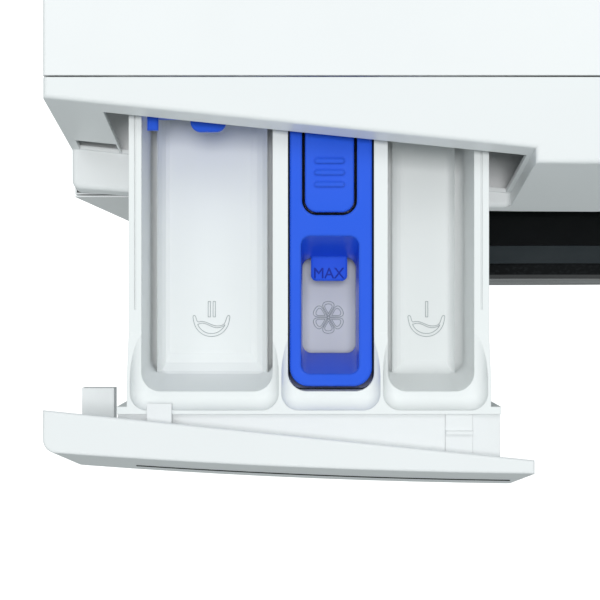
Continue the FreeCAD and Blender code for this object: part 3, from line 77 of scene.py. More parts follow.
@dataclass
class NodeBench:
    """Adds and joins nodes in one node tree."""

    tree: bpy.types.NodeTree

    def add(self, kind: str, **settings: object) -> bpy.types.Node:
        """Adds a node and sets its properties.

        Args:
            kind: The node's Blender type name.
            settings: Properties of the node, by name.

        Returns:
            The new node.
        """
        node = self.tree.nodes.new(kind)
        for key, value in settings.items():
            setattr(node, key, value)
        return node

    def join(self, source: bpy.types.NodeSocket, target: bpy.types.NodeSocket) -> None:
        """Links two sockets."""
        self.tree.links.new(source, target)

    def math(self, operation: str, first: object, second: object = 0.0) -> bpy.types.NodeSocket:
        """Adds a Math node.

        Args:
            operation: The Math node's operation.
            first: A socket or a number.
            second: A socket or a number.

        Returns:
            The node's value socket.
        """
        node = self.add("ShaderNodeMath", operation=operation)
        for index, value in enumerate((first, second)):
            if isinstance(value, bpy.types.NodeSocket):
                self.join(value, node.inputs[index])
            else:
                node.inputs[index].default_value = value
        return node.outputs[0]

    def noise(self, vector: bpy.types.NodeSocket, scale: object, detail: float = 3.0) -> bpy.types.NodeSocket:
        """Adds a Noise texture.

        Args:
            vector: Where the noise is read.
            scale: A socket or a number.
            detail: Octaves of the noise.

        Returns:
            The noise's value socket.
        """
        node = self.add("ShaderNodeTexNoise")
        node.inputs["Detail"].default_value = detail
        self.join(vector, node.inputs["Vector"])
        if isinstance(scale, bpy.types.NodeSocket):
            self.join(scale, node.inputs["Scale"])
        else:
            node.inputs["Scale"].default_value = scale
        return node.outputs["Fac"]

    def remap(self, value: bpy.types.NodeSocket, low: float, high: float, out_low: float,
              out_high: float) -> bpy.types.NodeSocket:
        """Adds a clamped Map Range node.

        Args:
            value: The socket that is mapped.
            low: Input at the low end.
            high: Input at the high end.
            out_low: Output at the low end.
            out_high: Output at the high end.

        Returns:
            The mapped value socket.
        """
        node = self.add("ShaderNodeMapRange")
        self.join(value, node.inputs["Value"])
        ends = (("From Min", low), ("From Max", high), ("To Min", out_low), ("To Max", out_high))
        for name, number in ends:
            node.inputs[name].default_value = number
        return node.outputs["Result"]

    def mix(self, factor: bpy.types.NodeSocket, first: object, second: object) -> bpy.types.NodeSocket:
        """Adds a colour Mix node.

        Args:
            factor: The mask between the two colours.
            first: A socket or a colour, shown where the mask is 0.
            second: A socket or a colour, shown where the mask is 1.

        Returns:
            The mixed colour socket.
        """
        node = self.add("ShaderNodeMix", data_type="RGBA")
        self.join(factor, node.inputs["Factor"])
        for socket, value in ((node.inputs["A"], first), (node.inputs["B"], second)):
            if isinstance(value, bpy.types.NodeSocket):
                self.join(value, socket)
            else:
                socket.default_value = value
        return node.outputs["Result"]


@dataclass
class EffectLibrary:
    """Builds each shared node group once."""

    made: dict[Group, bpy.types.NodeTree] = field(default_factory=dict)

    def get(self, group: Group) -> bpy.types.NodeTree:
        """The node group of that name, built on first use."""
        if group not in self.made:
            makers = {Group.GRAIN: self.grain, Group.EDGE: self.edge, Group.DUST: self.dust}
            self.made[group] = makers[group]()
        return self.made[group]

    @staticmethod
    def shell(group: Group, inputs: Sequence[tuple[str, float]],
              outputs: Sequence[str]) -> tuple[NodeBench, bpy.types.Node, bpy.types.Node]:
        """Starts a node group with float sockets.

        Args:
            group: Which group it is.
            inputs: Name and default of each input.
            outputs: Name of each output.

        Returns:
            The bench, the group's input node and its output node.
        """
        tree = bpy.data.node_groups.new(group.value, "ShaderNodeTree")
        for name, value in inputs:
            socket = tree.interface.new_socket(name=name, in_out="INPUT", socket_type="NodeSocketFloat")
            socket.default_value = value
        for name in outputs:
            tree.interface.new_socket(name=name, in_out="OUTPUT", socket_type="NodeSocketFloat")
        bench = NodeBench(tree)
        return bench, bench.add("NodeGroupInput"), bench.add("NodeGroupOutput")

    def grain(self) -> bpy.types.NodeTree:
        """Fine grain height and broad tone drift."""
        bench, source, target = self.shell(Group.GRAIN, (("Grain Scale", 900.0), ("Drift Scale", 6.0)),
                                           ("Height", "Drift", "Fine"))
        place = bench.add("ShaderNodeTexCoord").outputs["Object"]
        fine = bench.noise(place, source.outputs["Grain Scale"], 2.0)
        drift = bench.noise(place, source.outputs["Drift Scale"], 4.0)
        bench.join(fine, target.inputs["Height"])
        bench.join(bench.remap(drift, 0.3, 0.7, 0.0, 1.0), target.inputs["Drift"])
        bench.join(bench.remap(fine, 0.35, 0.65, 0.0, 1.0), target.inputs["Fine"])
        return bench.tree

    def edge(self) -> bpy.types.NodeTree:
        """Mask along convex and concave edges, broken up by noise."""
        bench, source, target = self.shell(Group.EDGE, (("Width", 0.0012), ("Breakup", 60.0)), ("Mask",))
        bevel = bench.add("ShaderNodeBevel", samples=4)
        bench.join(source.outputs["Width"], bevel.inputs["Radius"])
        normal = bench.add("ShaderNodeNewGeometry").outputs["Normal"]
        dot = bench.add("ShaderNodeVectorMath", operation="DOT_PRODUCT")
        bench.join(bevel.outputs["Normal"], dot.inputs[0])
        bench.join(normal, dot.inputs[1])
        sharp = bench.remap(dot.outputs["Value"], 0.8, 0.995, 1.0, 0.0)
        place = bench.add("ShaderNodeTexCoord").outputs["Object"]
        patch = bench.remap(bench.noise(place, source.outputs["Breakup"], 3.0), 0.35, 0.7, 0.2, 1.0)
        bench.join(bench.math("MULTIPLY", sharp, patch), target.inputs["Mask"])
        return bench.tree

    def dust(self) -> bpy.types.NodeTree:
        """Thin film on faces that look up."""
        bench, source, target = self.shell(Group.DUST, (("Amount", 0.1), ("Scale", 30.0)), ("Mask",))
        split = bench.add("ShaderNodeSeparateXYZ")
        bench.join(bench.add("ShaderNodeNewGeometry").outputs["Normal"], split.inputs[0])
        upward = bench.remap(split.outputs["Z"], 0.3, 1.0, 0.0, 1.0)
        place = bench.add("ShaderNodeTexCoord").outputs["Object"]
        cloud = bench.remap(bench.noise(place, source.outputs["Scale"], 5.0), 0.4, 0.75, 0.0, 1.0)
        film = bench.math("MULTIPLY", bench.math("MULTIPLY", upward, cloud), source.outputs["Amount"])
        bench.join(film, target.inputs["Mask"])
        return bench.tree


@dataclass(frozen=True)
class HoleRows:
    """Rows of small holes painted on the drum, near black inside as painted shade, in metres and shares of
    one cell.
    """

    axis_z: float = 0.45
    per_turn: float = 72.0
    pitch: float = 0.018
    rim_in: float = 0.10
    rim_out: float = 0.14


EFFECTS = EffectLibrary()
HOLES = HoleRows()
# Near black painted into the drum's holes: painted shade of the space behind them.
HOLE_SHADE_COLOUR = rgb(0.01, 0.01, 0.012)
DUST_COLOUR = rgb(0.60, 0.59, 0.57)
COAT_ROUGHNESS = 0.08
LINE_SCALE = 40.0
LINE_STRETCH = {Pattern.BRUSHED: (1.0, 60.0, 60.0), Pattern.TURNED: (60.0, 1.0, 60.0)}
SPANGLE_SCALE = 90.0
CAST_SCALE = 220.0


@dataclass(frozen=True)
class Finish:
    """One surface finish."""

    name: str
    colour: Colour
    drift_colour: Colour
    pattern: Pattern = Pattern.MOULDED
    roughness: float = 0.4
    roughness_swing: float = 0.08
    metallic: float = 0.0
    grain_scale: float = 900.0
    grain_depth: float = 0.00002
    drift_scale: float = 6.0
    edge_colour: Optional[Colour] = None
    edge_width: float = 0.0010
    soften: float = 0.0007
    dust: float = 0.05
    coat: float = 0.0
    transmission: float = 0.0
    ior: float = 1.5
    specular: float = 0.5

    def build(self) -> bpy.types.Material:
        """Makes the material.

        Returns:
            The finished material.
        """
        material = bpy.data.materials.new(self.name)
        material.use_nodes = True
        bench = NodeBench(material.node_tree)
        shader = material.node_tree.nodes["Principled BSDF"]
        grain = bench.add("ShaderNodeGroup", node_tree=EFFECTS.get(Group.GRAIN))
        grain.inputs["Grain Scale"].default_value = self.grain_scale
        grain.inputs["Drift Scale"].default_value = self.drift_scale
        colour, rough, height = self.pattern_sockets(bench, grain)
        # Tints convex and concave edges towards the finish's edge colour, which is lighter than its base.
        if self.edge_colour is not None:
            edge = bench.add("ShaderNodeGroup", node_tree=EFFECTS.get(Group.EDGE))
            edge.inputs["Width"].default_value = self.edge_width
            colour = bench.mix(edge.outputs["Mask"], colour, self.edge_colour)
        if self.dust > 0.0:
            dust = bench.add("ShaderNodeGroup", node_tree=EFFECTS.get(Group.DUST))
            dust.inputs["Amount"].default_value = self.dust
            colour = bench.mix(dust.outputs["Mask"], colour, DUST_COLOUR)
        bench.join(colour, shader.inputs["Base Color"])
        bench.join(rough, shader.inputs["Roughness"])
        bump = bench.add("ShaderNodeBump")
        bump.inputs["Strength"].default_value = 1.0
        bump.inputs["Distance"].default_value = self.grain_depth
        bench.join(height, bump.inputs["Height"])
        if self.pattern is not Pattern.CLEAR:
            soft = bench.add("ShaderNodeBevel", samples=4)
            soft.inputs["Radius"].default_value = self.soften
            bench.join(soft.outputs["Normal"], bump.inputs["Normal"])
        bench.join(bump.outputs["Normal"], shader.inputs["Normal"])
        shader.inputs["Metallic"].default_value = self.metallic
        shader.inputs["Coat Weight"].default_value = self.coat
        shader.inputs["Coat Roughness"].default_value = COAT_ROUGHNESS
        shader.inputs["Transmission Weight"].default_value = self.transmission
        shader.inputs["IOR"].default_value = self.ior
        shader.inputs["Specular IOR Level"].default_value = self.specular
        return material

    def pattern_sockets(self, bench: NodeBench, grain: bpy.types.Node) -> tuple[
            bpy.types.NodeSocket, bpy.types.NodeSocket, bpy.types.NodeSocket]:
        """Colour, roughness and height of the finish's own pattern.

        Args:
            bench: The material's bench.
            grain: The grain group node.

        Returns:
            The colour, roughness and height sockets.
        """
        drift = grain.outputs["Drift"]
        low = max(self.roughness - self.roughness_swing, 0.02)
        high = min(self.roughness + self.roughness_swing, 1.0)
        colour = bench.mix(drift, self.colour, self.drift_colour)
        rough = bench.remap(drift, 0.0, 1.0, low, high)
        height = grain.outputs["Height"]
        place = bench.add("ShaderNodeTexCoord").outputs["Object"]
        if self.pattern in (Pattern.BRUSHED, Pattern.TURNED):
            stretch = bench.add("ShaderNodeMapping")
            stretch.inputs["Scale"].default_value = LINE_STRETCH[self.pattern]
            bench.join(place, stretch.inputs["Vector"])
            lines = bench.noise(stretch.outputs["Vector"], LINE_SCALE, 4.0)
            height = lines
            rough = bench.remap(lines, 0.3, 0.7, low, high)
        if self.pattern is Pattern.SPANGLE:
            cells = bench.add("ShaderNodeTexVoronoi")
            cells.inputs["Scale"].default_value = SPANGLE_SCALE
            bench.join(place, cells.inputs["Vector"])
            tone = bench.remap(cells.outputs["Distance"], 0.0, 0.8, 0.0, 1.0)
            colour = bench.mix(tone, colour, self.drift_colour)
            rough = bench.remap(tone, 0.0, 1.0, low, high)
        if self.pattern is Pattern.SPECKLED:
            flecks = bench.remap(grain.outputs["Fine"], 0.62, 0.78, 0.0, 1.0)
            colour = bench.mix(flecks, colour, self.drift_colour)
        if self.pattern is Pattern.CAST:
            coarse = bench.noise(place, CAST_SCALE, 6.0)
            height = bench.math("ADD", bench.math("MULTIPLY", coarse, 4.0), height)
        if self.pattern is Pattern.PERFORATED:
            height = self.hole_field(bench, place)
            # The holes are real; their near-black colour is painted shade.
            colour = bench.mix(bench.remap(height, 0.0, 1.0, 1.0, 0.0), colour, HOLE_SHADE_COLOUR)
        return colour, rough, height

    @staticmethod
    def hole_field(bench: NodeBench, place: bpy.types.NodeSocket) -> bpy.types.NodeSocket:
        """Rows of small holes round the drum: 0 in a hole, 1 between them.

        Args:
            bench: The material's bench.
            place: Object coordinates.

        Returns:
            The height socket.
        """
        centre = bench.add("ShaderNodeMapping")
        centre.inputs["Location"].default_value = (0.0, 0.0, -HOLES.axis_z)
        bench.join(place, centre.inputs["Vector"])
        split = bench.add("ShaderNodeSeparateXYZ")
        bench.join(centre.outputs["Vector"], split.inputs[0])
        angle = bench.math("ARCTAN2", split.outputs["X"], split.outputs["Z"])
        around = bench.math("MULTIPLY", angle, HOLES.per_turn / math.tau)
        squared = bench.math("MULTIPLY", split.outputs["X"], split.outputs["X"])
        squared = bench.math("ADD", squared, bench.math("MULTIPLY", split.outputs["Z"], split.outputs["Z"]))
        reach = bench.math("SUBTRACT", split.outputs["Y"], bench.math("SQRT", squared))
        along = bench.math("MULTIPLY", reach, 1.0 / HOLES.pitch)
        row = bench.math("MULTIPLY", bench.math("FLOOR", along), 0.5)
        u = bench.math("SUBTRACT", bench.math("FRACT", bench.math("ADD", around, row)), 0.5)
        v = bench.math("SUBTRACT", bench.math("FRACT", along), 0.5)
        square_u = bench.math("MULTIPLY", u, u)
        radius = bench.math("SQRT", bench.math("ADD", square_u, bench.math("MULTIPLY", v, v)))
        return bench.remap(radius, HOLES.rim_in, HOLES.rim_out, 0.0, 1.0)


FINISHES: dict[str, Finish] = {
    "white_enamel": Finish(
        "WhiteEnamel", rgb(0.86, 0.87, 0.88), rgb(0.85, 0.862, 0.873), Pattern.ENAMEL, 0.25, 0.03,
        grain_scale=700.0, grain_depth=0.00001, coat=0.3, dust=0.01, edge_colour=rgb(0.90, 0.90, 0.90)),
    "worktop_laminate": Finish(
        "WorktopLaminate", rgb(0.90, 0.905, 0.91), rgb(0.885, 0.89, 0.90), Pattern.ENAMEL, 0.32, 0.05,
        grain_scale=700.0, grain_depth=0.00002, dust=0.03),
    "white_plastic": Finish(
        "WhiteMoulding", rgb(0.87, 0.88, 0.885), rgb(0.85, 0.86, 0.87), Pattern.MOULDED, 0.38, 0.06,
        grain_scale=1500.0, grain_depth=0.00001, dust=0.02),
    "tray_plastic": Finish(
        "TrayMoulding", rgb(0.88, 0.895, 0.895), rgb(0.86, 0.88, 0.88), Pattern.MOULDED, 0.36, 0.06,
        grain_scale=1300.0, grain_depth=0.00001, dust=0.02),
    "blue_plastic": Finish(
        "BlueMoulding", rgb(0.018, 0.115, 0.82), rgb(0.014, 0.100, 0.76), Pattern.MOULDED, 0.33, 0.06,
        grain_scale=1300.0, grain_depth=0.00001, dust=0.01, soften=0.0024),
    "silver_trim": Finish(
        "SilverTrim", rgb(0.62, 0.64, 0.66), rgb(0.55, 0.57, 0.59), Pattern.BRUSHED, 0.28, 0.10,
        metallic=1.0, grain_depth=0.00002, dust=0.0),
    "galvanised_steel": Finish(
        "GalvanisedSteel", rgb(0.50, 0.52, 0.54), rgb(0.62, 0.64, 0.66), Pattern.SPANGLE, 0.42, 0.12,
        metallic=0.8, dust=0.12),
    "screw_steel": Finish(
        "ScrewSteel", rgb(0.48, 0.49, 0.50), rgb(0.40, 0.41, 0.42), Pattern.TURNED, 0.35, 0.1,
        metallic=1.0, dust=0.05),
    "grey_plastic": Finish(
        "GreyMoulding", rgb(0.34, 0.36, 0.38), rgb(0.30, 0.32, 0.34), Pattern.MOULDED, 0.5, 0.1,
        grain_scale=700.0, grain_depth=0.00004, dust=0.15),
    "black_plastic": Finish(
        "BlackMoulding", rgb(0.002, 0.0025, 0.003), rgb(0.004, 0.0045, 0.005), Pattern.MOULDED, 0.45,
        0.08, grain_scale=1200.0, grain_depth=0.00002, dust=0.003, specular=0.15,
        edge_colour=rgb(0.012, 0.013, 0.014)),
    "dark_bezel": Finish(
        "DarkBezel", rgb(0.016, 0.022, 0.026), rgb(0.022, 0.028, 0.033), Pattern.TURNED, 0.42, 0.08,
        metallic=0.0, specular=0.3, grain_depth=0.00001, dust=0.02),
    "smoked_pane": Finish(
        "SmokedPane", rgb(0.002, 0.002, 0.0025), rgb(0.012, 0.013, 0.014), Pattern.SPECKLED, 0.22, 0.05,
        grain_scale=420.0, grain_depth=0.000004, specular=0.07, dust=0.004,
        edge_colour=rgb(0.006, 0.006, 0.007)),
    "clear_glass": Finish(
        "BowlGlass", rgb(0.93, 0.96, 0.96), rgb(0.90, 0.94, 0.94), Pattern.CLEAR, 0.03, 0.02,
        grain_scale=60.0, grain_depth=0.000004, transmission=1.0, ior=1.5, dust=0.0),
    "grey_rubber": Finish(
        "GreyRubber", rgb(0.20, 0.205, 0.21), rgb(0.17, 0.175, 0.18), Pattern.MOULDED, 0.62, 0.08,
        grain_scale=500.0, grain_depth=0.00004, dust=0.12),
    "belt_rubber": Finish(
        "BeltRubber", rgb(0.02, 0.02, 0.02), rgb(0.04, 0.04, 0.04), Pattern.TURNED, 0.7, 0.08,
        grain_depth=0.0001, dust=0.15),
    "counterweight_iron": Finish(
        "CastIron", rgb(0.16, 0.16, 0.155), rgb(0.12, 0.12, 0.115), Pattern.CAST, 0.8, 0.1,
        grain_depth=0.0003, metallic=0.4, dust=0.3),
    "bright_steel": Finish(
        "BrightSteel", rgb(0.60, 0.61, 0.62), rgb(0.54, 0.55, 0.56), Pattern.BRUSHED, 0.22, 0.08,
        metallic=1.0, grain_depth=0.00001, dust=0.0),
    "lifter_plastic": Finish(
        "LifterMoulding", rgb(0.36, 0.38, 0.40), rgb(0.32, 0.34, 0.36), Pattern.MOULDED, 0.4, 0.08,
        dust=0.0),
    "cast_aluminium": Finish(
        "CastAluminium", rgb(0.52, 0.53, 0.54), rgb(0.44, 0.45, 0.46), Pattern.CAST, 0.48, 0.1,
        metallic=1.0, grain_depth=0.00012, dust=0.1),
}

DRUM_STEEL = Finish(
    "DrumSteel", rgb(0.62, 0.63, 0.64), rgb(0.56, 0.57, 0.58), Pattern.PERFORATED, 0.25, 0.08,
    metallic=1.0, grain_depth=0.0008, dust=0.0)


@dataclass
class Dresser:
    """Gives every node of the frame its finish."""

    own_finish: dict[str, Finish] = field(default_factory=lambda: {"drum_shell": DRUM_STEEL})
    made: dict[str, bpy.types.Material] = field(default_factory=dict)

    def material(self, finish: Finish) -> bpy.types.Material:
        """The finish's material, made on first use."""
        if finish.name not in self.made:
            self.made[finish.name] = finish.build()
        return self.made[finish.name]

    def dress(self, nodes: dict[str, bpy.types.Object], record: dict) -> None:
        """Puts each node's finish on it.

        Args:
            nodes: The frame's nodes, by name.
            record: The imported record, which names each node's slot.
        """
        slot_of = {row["node"]: row["material_slot"] for row in record["subparts"]}
        for name, node in nodes.items():
            finish = self.own_finish.get(name, FINISHES[slot_of[name]])
            node.data.materials.clear()
            node.data.materials.append(self.material(finish))
            LOG.info("dressed %s as %s", name, finish.name)


@dataclass
class Maker:
    """Shared ways of making a piece with operators."""

    dresser: Dresser

    @staticmethod
    def alone() -> None:
        """Deselects everything."""
        bpy.ops.object.select_all(action="DESELECT")

    def finish(self, piece: bpy.types.Object, name: str, body: str, slot: str,
               finish: Finish) -> bpy.types.Object:
        """Names and dresses a piece and lets it ride.

        Args:
            piece: The piece.
            name: Its name.
            body: The body that it moves with.
            slot: The record's material slot; not used.
            finish: Its finish.

        Returns:
            The same piece.
        """
        piece.name = name
        piece.data.name = name
        piece.data.materials.clear()
        piece.data.materials.append(self.dresser.material(finish))
        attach(piece, body)
        LOG.info("made %s on %s", name, body)
        return piece

    def wire(self, points: Sequence[Sequence[float]], radius: float,
             closed: bool = False) -> bpy.types.Object:
        """Thin round line through points, as a mesh.

        Args:
            points: Control points in metres.
            radius: Radius of the line in metres.
            closed: Whether it is a loop.

        Returns:
            The line.
        """
        self.alone()
        bpy.ops.curve.primitive_nurbs_path_add(location=(0.0, 0.0, 0.0))
        line = bpy.context.active_object
        curve = line.data
        curve.splines.clear()
        spline = curve.splines.new("NURBS")
        spline.points.add(len(points) - 1)
        for control, place in zip(spline.points, points):
            control.co = (*place, 1.0)
        spline.use_cyclic_u = closed
        spline.order_u = 3
        spline.use_endpoint_u = not closed
        spline.resolution_u = 5
        curve.dimensions = "3D"
        curve.bevel_depth = radius
        curve.bevel_resolution = 2
        curve.use_fill_caps = True
        bpy.ops.object.convert(target="MESH")
        return bpy.context.active_object

    def join(self, parts: Sequence[bpy.types.Object]) -> bpy.types.Object:
        """Joins parts into the first one."""
        self.alone()
        for part in parts:
            part.select_set(True)
        bpy.context.view_layer.objects.active = parts[0]
        bpy.ops.object.join()
        return bpy.context.active_object

    def lettering(self, text: str, centre: Vector, width: float, height: float, depth: float,
                  turn: Matrix) -> bpy.types.Object:
        """Raised letters fitted to a rectangle.

        Args:
            text: The letters.
            centre: Middle of the letters' base.
            width: Width in metres.
            height: Height in metres.
            depth: How far the letters stand up.
            turn: Turn from flat to where they lie.

        Returns:
            The letters as a mesh at the origin.
        """
        self.alone()
        bpy.ops.object.text_add(location=(0.0, 0.0, 0.0))
        words = bpy.context.active_object
        words.data.body = text
        words.data.size = 1.0
        words.data.extrude = 0.02
        words.data.bevel_depth = 0.006
        words.data.bevel_resolution = 1
        bpy.ops.object.convert(target="MESH")
        words = bpy.context.active_object
        corners = [Vector(corner) for corner in words.bound_box]
        low = Vector([min(c[i] for c in corners) for i in range(3)])
        high = Vector([max(c[i] for c in corners) for i in range(3)])
        middle = (low + high) / 2.0
        spans = [high[i] - low[i] for i in range(3)]
        scale = Matrix.Diagonal((width / spans[0], height / spans[1], depth / spans[2], 1.0))
        back = Matrix.Translation((-middle.x, -middle.y, -low.z))
        words.data.transform(Matrix.Translation(centre) @ turn.to_4x4() @ scale @ back)
        return words


# The tray's marks are moulded in its own plastic; this darker grey is painted shade along their raised edges.
MARK_SHADE = Finish(
    "TrayMarkShade", rgb(0.50, 0.54, 0.55), rgb(0.46, 0.50, 0.51), Pattern.MOULDED, 0.4, 0.05, dust=0.0,
    grain_depth=0.000005)
# The level mark is moulded in the insert's own blue; this darker blue is painted shade along its raised
# edges.
BLUE_MARK_SHADE = Finish(
    "BlueMarkShade", rgb(0.008, 0.035, 0.42), rgb(0.006, 0.03, 0.36), Pattern.MOULDED, 0.35, 0.05,
    dust=0.0, grain_depth=0.000005)
PRINT = Finish(
    "PanelPrint", rgb(0.22, 0.23, 0.25), rgb(0.26, 0.27, 0.29), Pattern.MOULDED, 0.5, 0.05, dust=0.0,
    grain_depth=0.000002)
LIT = Finish(
    "DisplayDigits", rgb(0.75, 0.82, 0.85), rgb(0.68, 0.76, 0.80), Pattern.MOULDED, 0.4, 0.05, dust=0.0,
    grain_depth=0.000002)


Rect = tuple[float, float, float, float]


@dataclass
class FloorCoves:
    """Sloped coves between the tray's walls and the flat of its two open floors."""

    maker: Maker
    floor: float = 768.05
    thickness: float = 0.45
    step: float = 0.2
    main_walls: Rect = (-247.4, -186.2, -379.4, -124.0)
    main_flat: Rect = (-242.0, -195.8, -365.0, -140.0)
    main_height: float = 13.0
    prewash_walls: Rect = (-115.8, -81.0, -378.2, -124.0)
    prewash_flat: Rect = (-108.5, -85.0, -371.0, -140.0)
    prewash_height: float = 9.0

    def ring_to(self, now: Rect, goal: Rect, drop: float) -> None:
        """Insets the selected face and moves the new face to a rectangle lower down.

        Args:
            now: The selected face's sides, x0, x1, y0, y1, in millimetres.
            goal: The new face's sides.
            drop: How far it goes down.
        """
        step = self.step
        bpy.ops.mesh.inset(thickness=step * MM)
        inner = (now[0] + step, now[1] - step, now[2] + step, now[3] - step)
        centre = Vector(((inner[0] + inner[1]) / 2.0, (inner[2] + inner[3]) / 2.0, 0.0))
        aim = Vector(((goal[0] + goal[1]) / 2.0, (goal[2] + goal[3]) / 2.0, -drop))
        grow = ((goal[1] - goal[0]) / (inner[1] - inner[0]), (goal[3] - goal[2]) / (inner[3] - inner[2]), 1.0)
        bpy.ops.transform.resize(value=grow, center_override=(centre * MM))
        bpy.ops.transform.translate(value=(aim - centre) * MM)

    def cove(self, name: str, outer: Rect, inner: Rect, height: float, steps: int) -> None:
        """Makes one cove with its flat floor.

        Args:
            name: The piece's name.
            outer: The sides where it meets the walls, x0, x1, y0, y1, in millimetres.
            inner: The sides of the flat floor.
            height: How far up the walls it starts.
            steps: Number of bands, more for a rounder cove.
        """
        self.maker.alone()
        middle_x = (outer[0] + outer[1]) / 2.0 * MM
        middle_y = (outer[2] + outer[3]) / 2.0 * MM
        middle = (middle_x, middle_y, (self.floor + height) * MM)
        bpy.ops.mesh.primitive_plane_add(size=1.0, location=(0.0, 0.0, 0.0))
        piece = bpy.context.active_object
        bpy.ops.object.mode_set(mode="EDIT")
        bpy.ops.mesh.select_all(action="SELECT")
        bpy.ops.transform.resize(value=((outer[1] - outer[0]) * MM, (outer[3] - outer[2]) * MM, 1.0),
                                 center_override=(0.0, 0.0, 0.0))
        bpy.ops.transform.translate(value=middle)
        now = outer
        fallen = 0.0
        for index in range(1, steps + 1):
            angle = math.pi / 2.0 * index / steps
            share = 1.0 - math.cos(angle)
            low = height * math.sin(angle)
            goal = tuple(a + (b - a) * share for a, b in zip(outer, inner))
            self.ring_to(now, goal, low - fallen)
            now = goal
            fallen = low
        bpy.ops.object.mode_set(mode="OBJECT")
        solid = piece.modifiers.new("solid", "SOLIDIFY")
        solid.thickness = self.thickness * MM
        solid.offset = -1.0
        bpy.ops.object.modifier_apply(modifier="solid")
        self.maker.finish(piece, name, "drawer", "tray_plastic", FINISHES["tray_plastic"])

    def build(self) -> None:
        """Makes both coves."""
        self.cove("main_wash_cove", self.main_walls, self.main_flat, self.main_height, 4)
        self.cove("prewash_cove", self.prewash_walls, self.prewash_flat, self.prewash_height, 5)


@dataclass
class TrayMarks:
    """Moulded marks on the tray's floors and the level mark on the insert, coloured darker than their plastic
    as painted shade along their raised edges.
    """

    maker: Maker
    floor: float = 768.10
    radius: float = 0.20
    basin_y: float = -345.6
    basin_r: float = 10.2
    basin_wall: float = 1.7
    main_x: float = -218.2
    prewash_x: float = -96.0
    bar_half: float = 0.65
    bar_y: tuple[float, float] = (-344.6, -335.8)
    flower: tuple[float, float] = (-151.7, -344.9)
    petal: float = 8.8
    level_at: tuple[float, float, float] = (-151.7, -320.2, 794.58)

    def loop(self, flat: Sequence[tuple[float, float]]) -> bpy.types.Object:
        """Closed line on the floor from points in millimetres."""
        return self.maker.wire([(x * MM, y * MM, self.floor * MM) for x, y in flat], self.radius * MM, True)

    def bar(self, x: float) -> bpy.types.Object:
        """Outline of one upright bar at x."""
        half = self.bar_half
        low, high = self.bar_y
        corners = ((x - half, low), (x + half, low), (x + half, high), (x - half, high))
        return self.loop([corner for corner in corners for _ in range(2)])

    def arc(self, x: float, radius: float, start: float, end: float,
            steps: int = 14) -> list[tuple[float, float]]:
        """Points along an arc about the basin's centre.

        Args:
            x: The basin's middle.
            radius: Radius in millimetres.
            start: First angle in degrees.
            end: Last angle in degrees.
            steps: Number of runs.

        Returns:
            The points.
        """
        angles = [math.radians(start + (end - start) * i / steps) for i in range(steps + 1)]
        return [(x + radius * math.cos(a), self.basin_y + radius * math.sin(a)) for a in angles]

    def basin(self, x: float) -> list[bpy.types.Object]:
        """Basin with a wave in it, as two loops."""
        inner = self.basin_r - self.basin_wall
        outside = self.arc(x, self.basin_r, 188.0, 352.0)
        rim_left = [(x - self.basin_r - 0.5, self.basin_y + 1.8), (x - inner - 0.5, self.basin_y + 1.9)]
        rim_right = [(x + inner + 0.5, self.basin_y + 1.9), (x + self.basin_r + 0.5, self.basin_y + 1.8)]
        wave = [(x - 8.2, -2.2), (x - 5.5, -1.4), (x - 2.5, -2.2), (x + 1.0, -3.9), (x + 4.5, -4.3),
                (x + 7.6, -3.2)]
        upper = [(px, self.basin_y + dy) for px, dy in reversed(wave)]
        lower = [(px * 0.93 + x * 0.07, self.basin_y + dy - 1.0) for px, dy in wave]
        band = outside + rim_right[::-1] + upper + rim_left[::-1]
        water = self.arc(x, inner, 338.0, 202.0) + lower
        return [self.loop(band), self.loop(water)]

    def petals(self) -> list[bpy.types.Object]:
        """Six petals round the flower's middle, each an outer and an inner loop."""
        shape = ((0.06, 0.0), (0.06, 0.0), (0.42, 0.20), (0.82, 0.44), (1.08, 0.26), (1.08, -0.26),
                 (0.82, -0.44), (0.42, -0.20))
        loops = []
        for index in range(6):
            turn = math.radians(30.0 + 60.0 * index)
            for grow, shift in ((0.95, 0.0), (0.62, 0.20)):
                ring = []
                for along, across in shape:
                    a = (along * grow + shift) * self.petal
                    b = across * grow * self.petal
                    ring.append((self.flower[0] + a * math.cos(turn) - b * math.sin(turn),
                                 self.flower[1] + a * math.sin(turn) + b * math.cos(turn)))
                loops.append(self.loop(ring))
        return loops

    def build(self) -> None:
        """Makes all marks."""
        main = self.maker.join([self.bar(-219.4), self.bar(-216.6)] + self.basin(self.main_x))
        self.maker.finish(main, "main_wash_mark", "drawer", "tray_plastic", MARK_SHADE)
        prewash = self.maker.join([self.bar(-95.8)] + self.basin(self.prewash_x))
        self.maker.finish(prewash, "prewash_mark", "drawer", "tray_plastic", MARK_SHADE)
        flower = self.maker.join(self.petals())
        self.maker.finish(flower, "softener_mark", "drawer", "tray_plastic", MARK_SHADE)
        letters = self.maker.lettering("MAX", Vector(self.level_at) * MM, 16.6 * MM, 5.8 * MM, 0.35 * MM,
                                       Matrix.Identity(3))
        self.maker.finish(letters, "level_mark", "drawer", "blue_plastic", BLUE_MARK_SHADE)


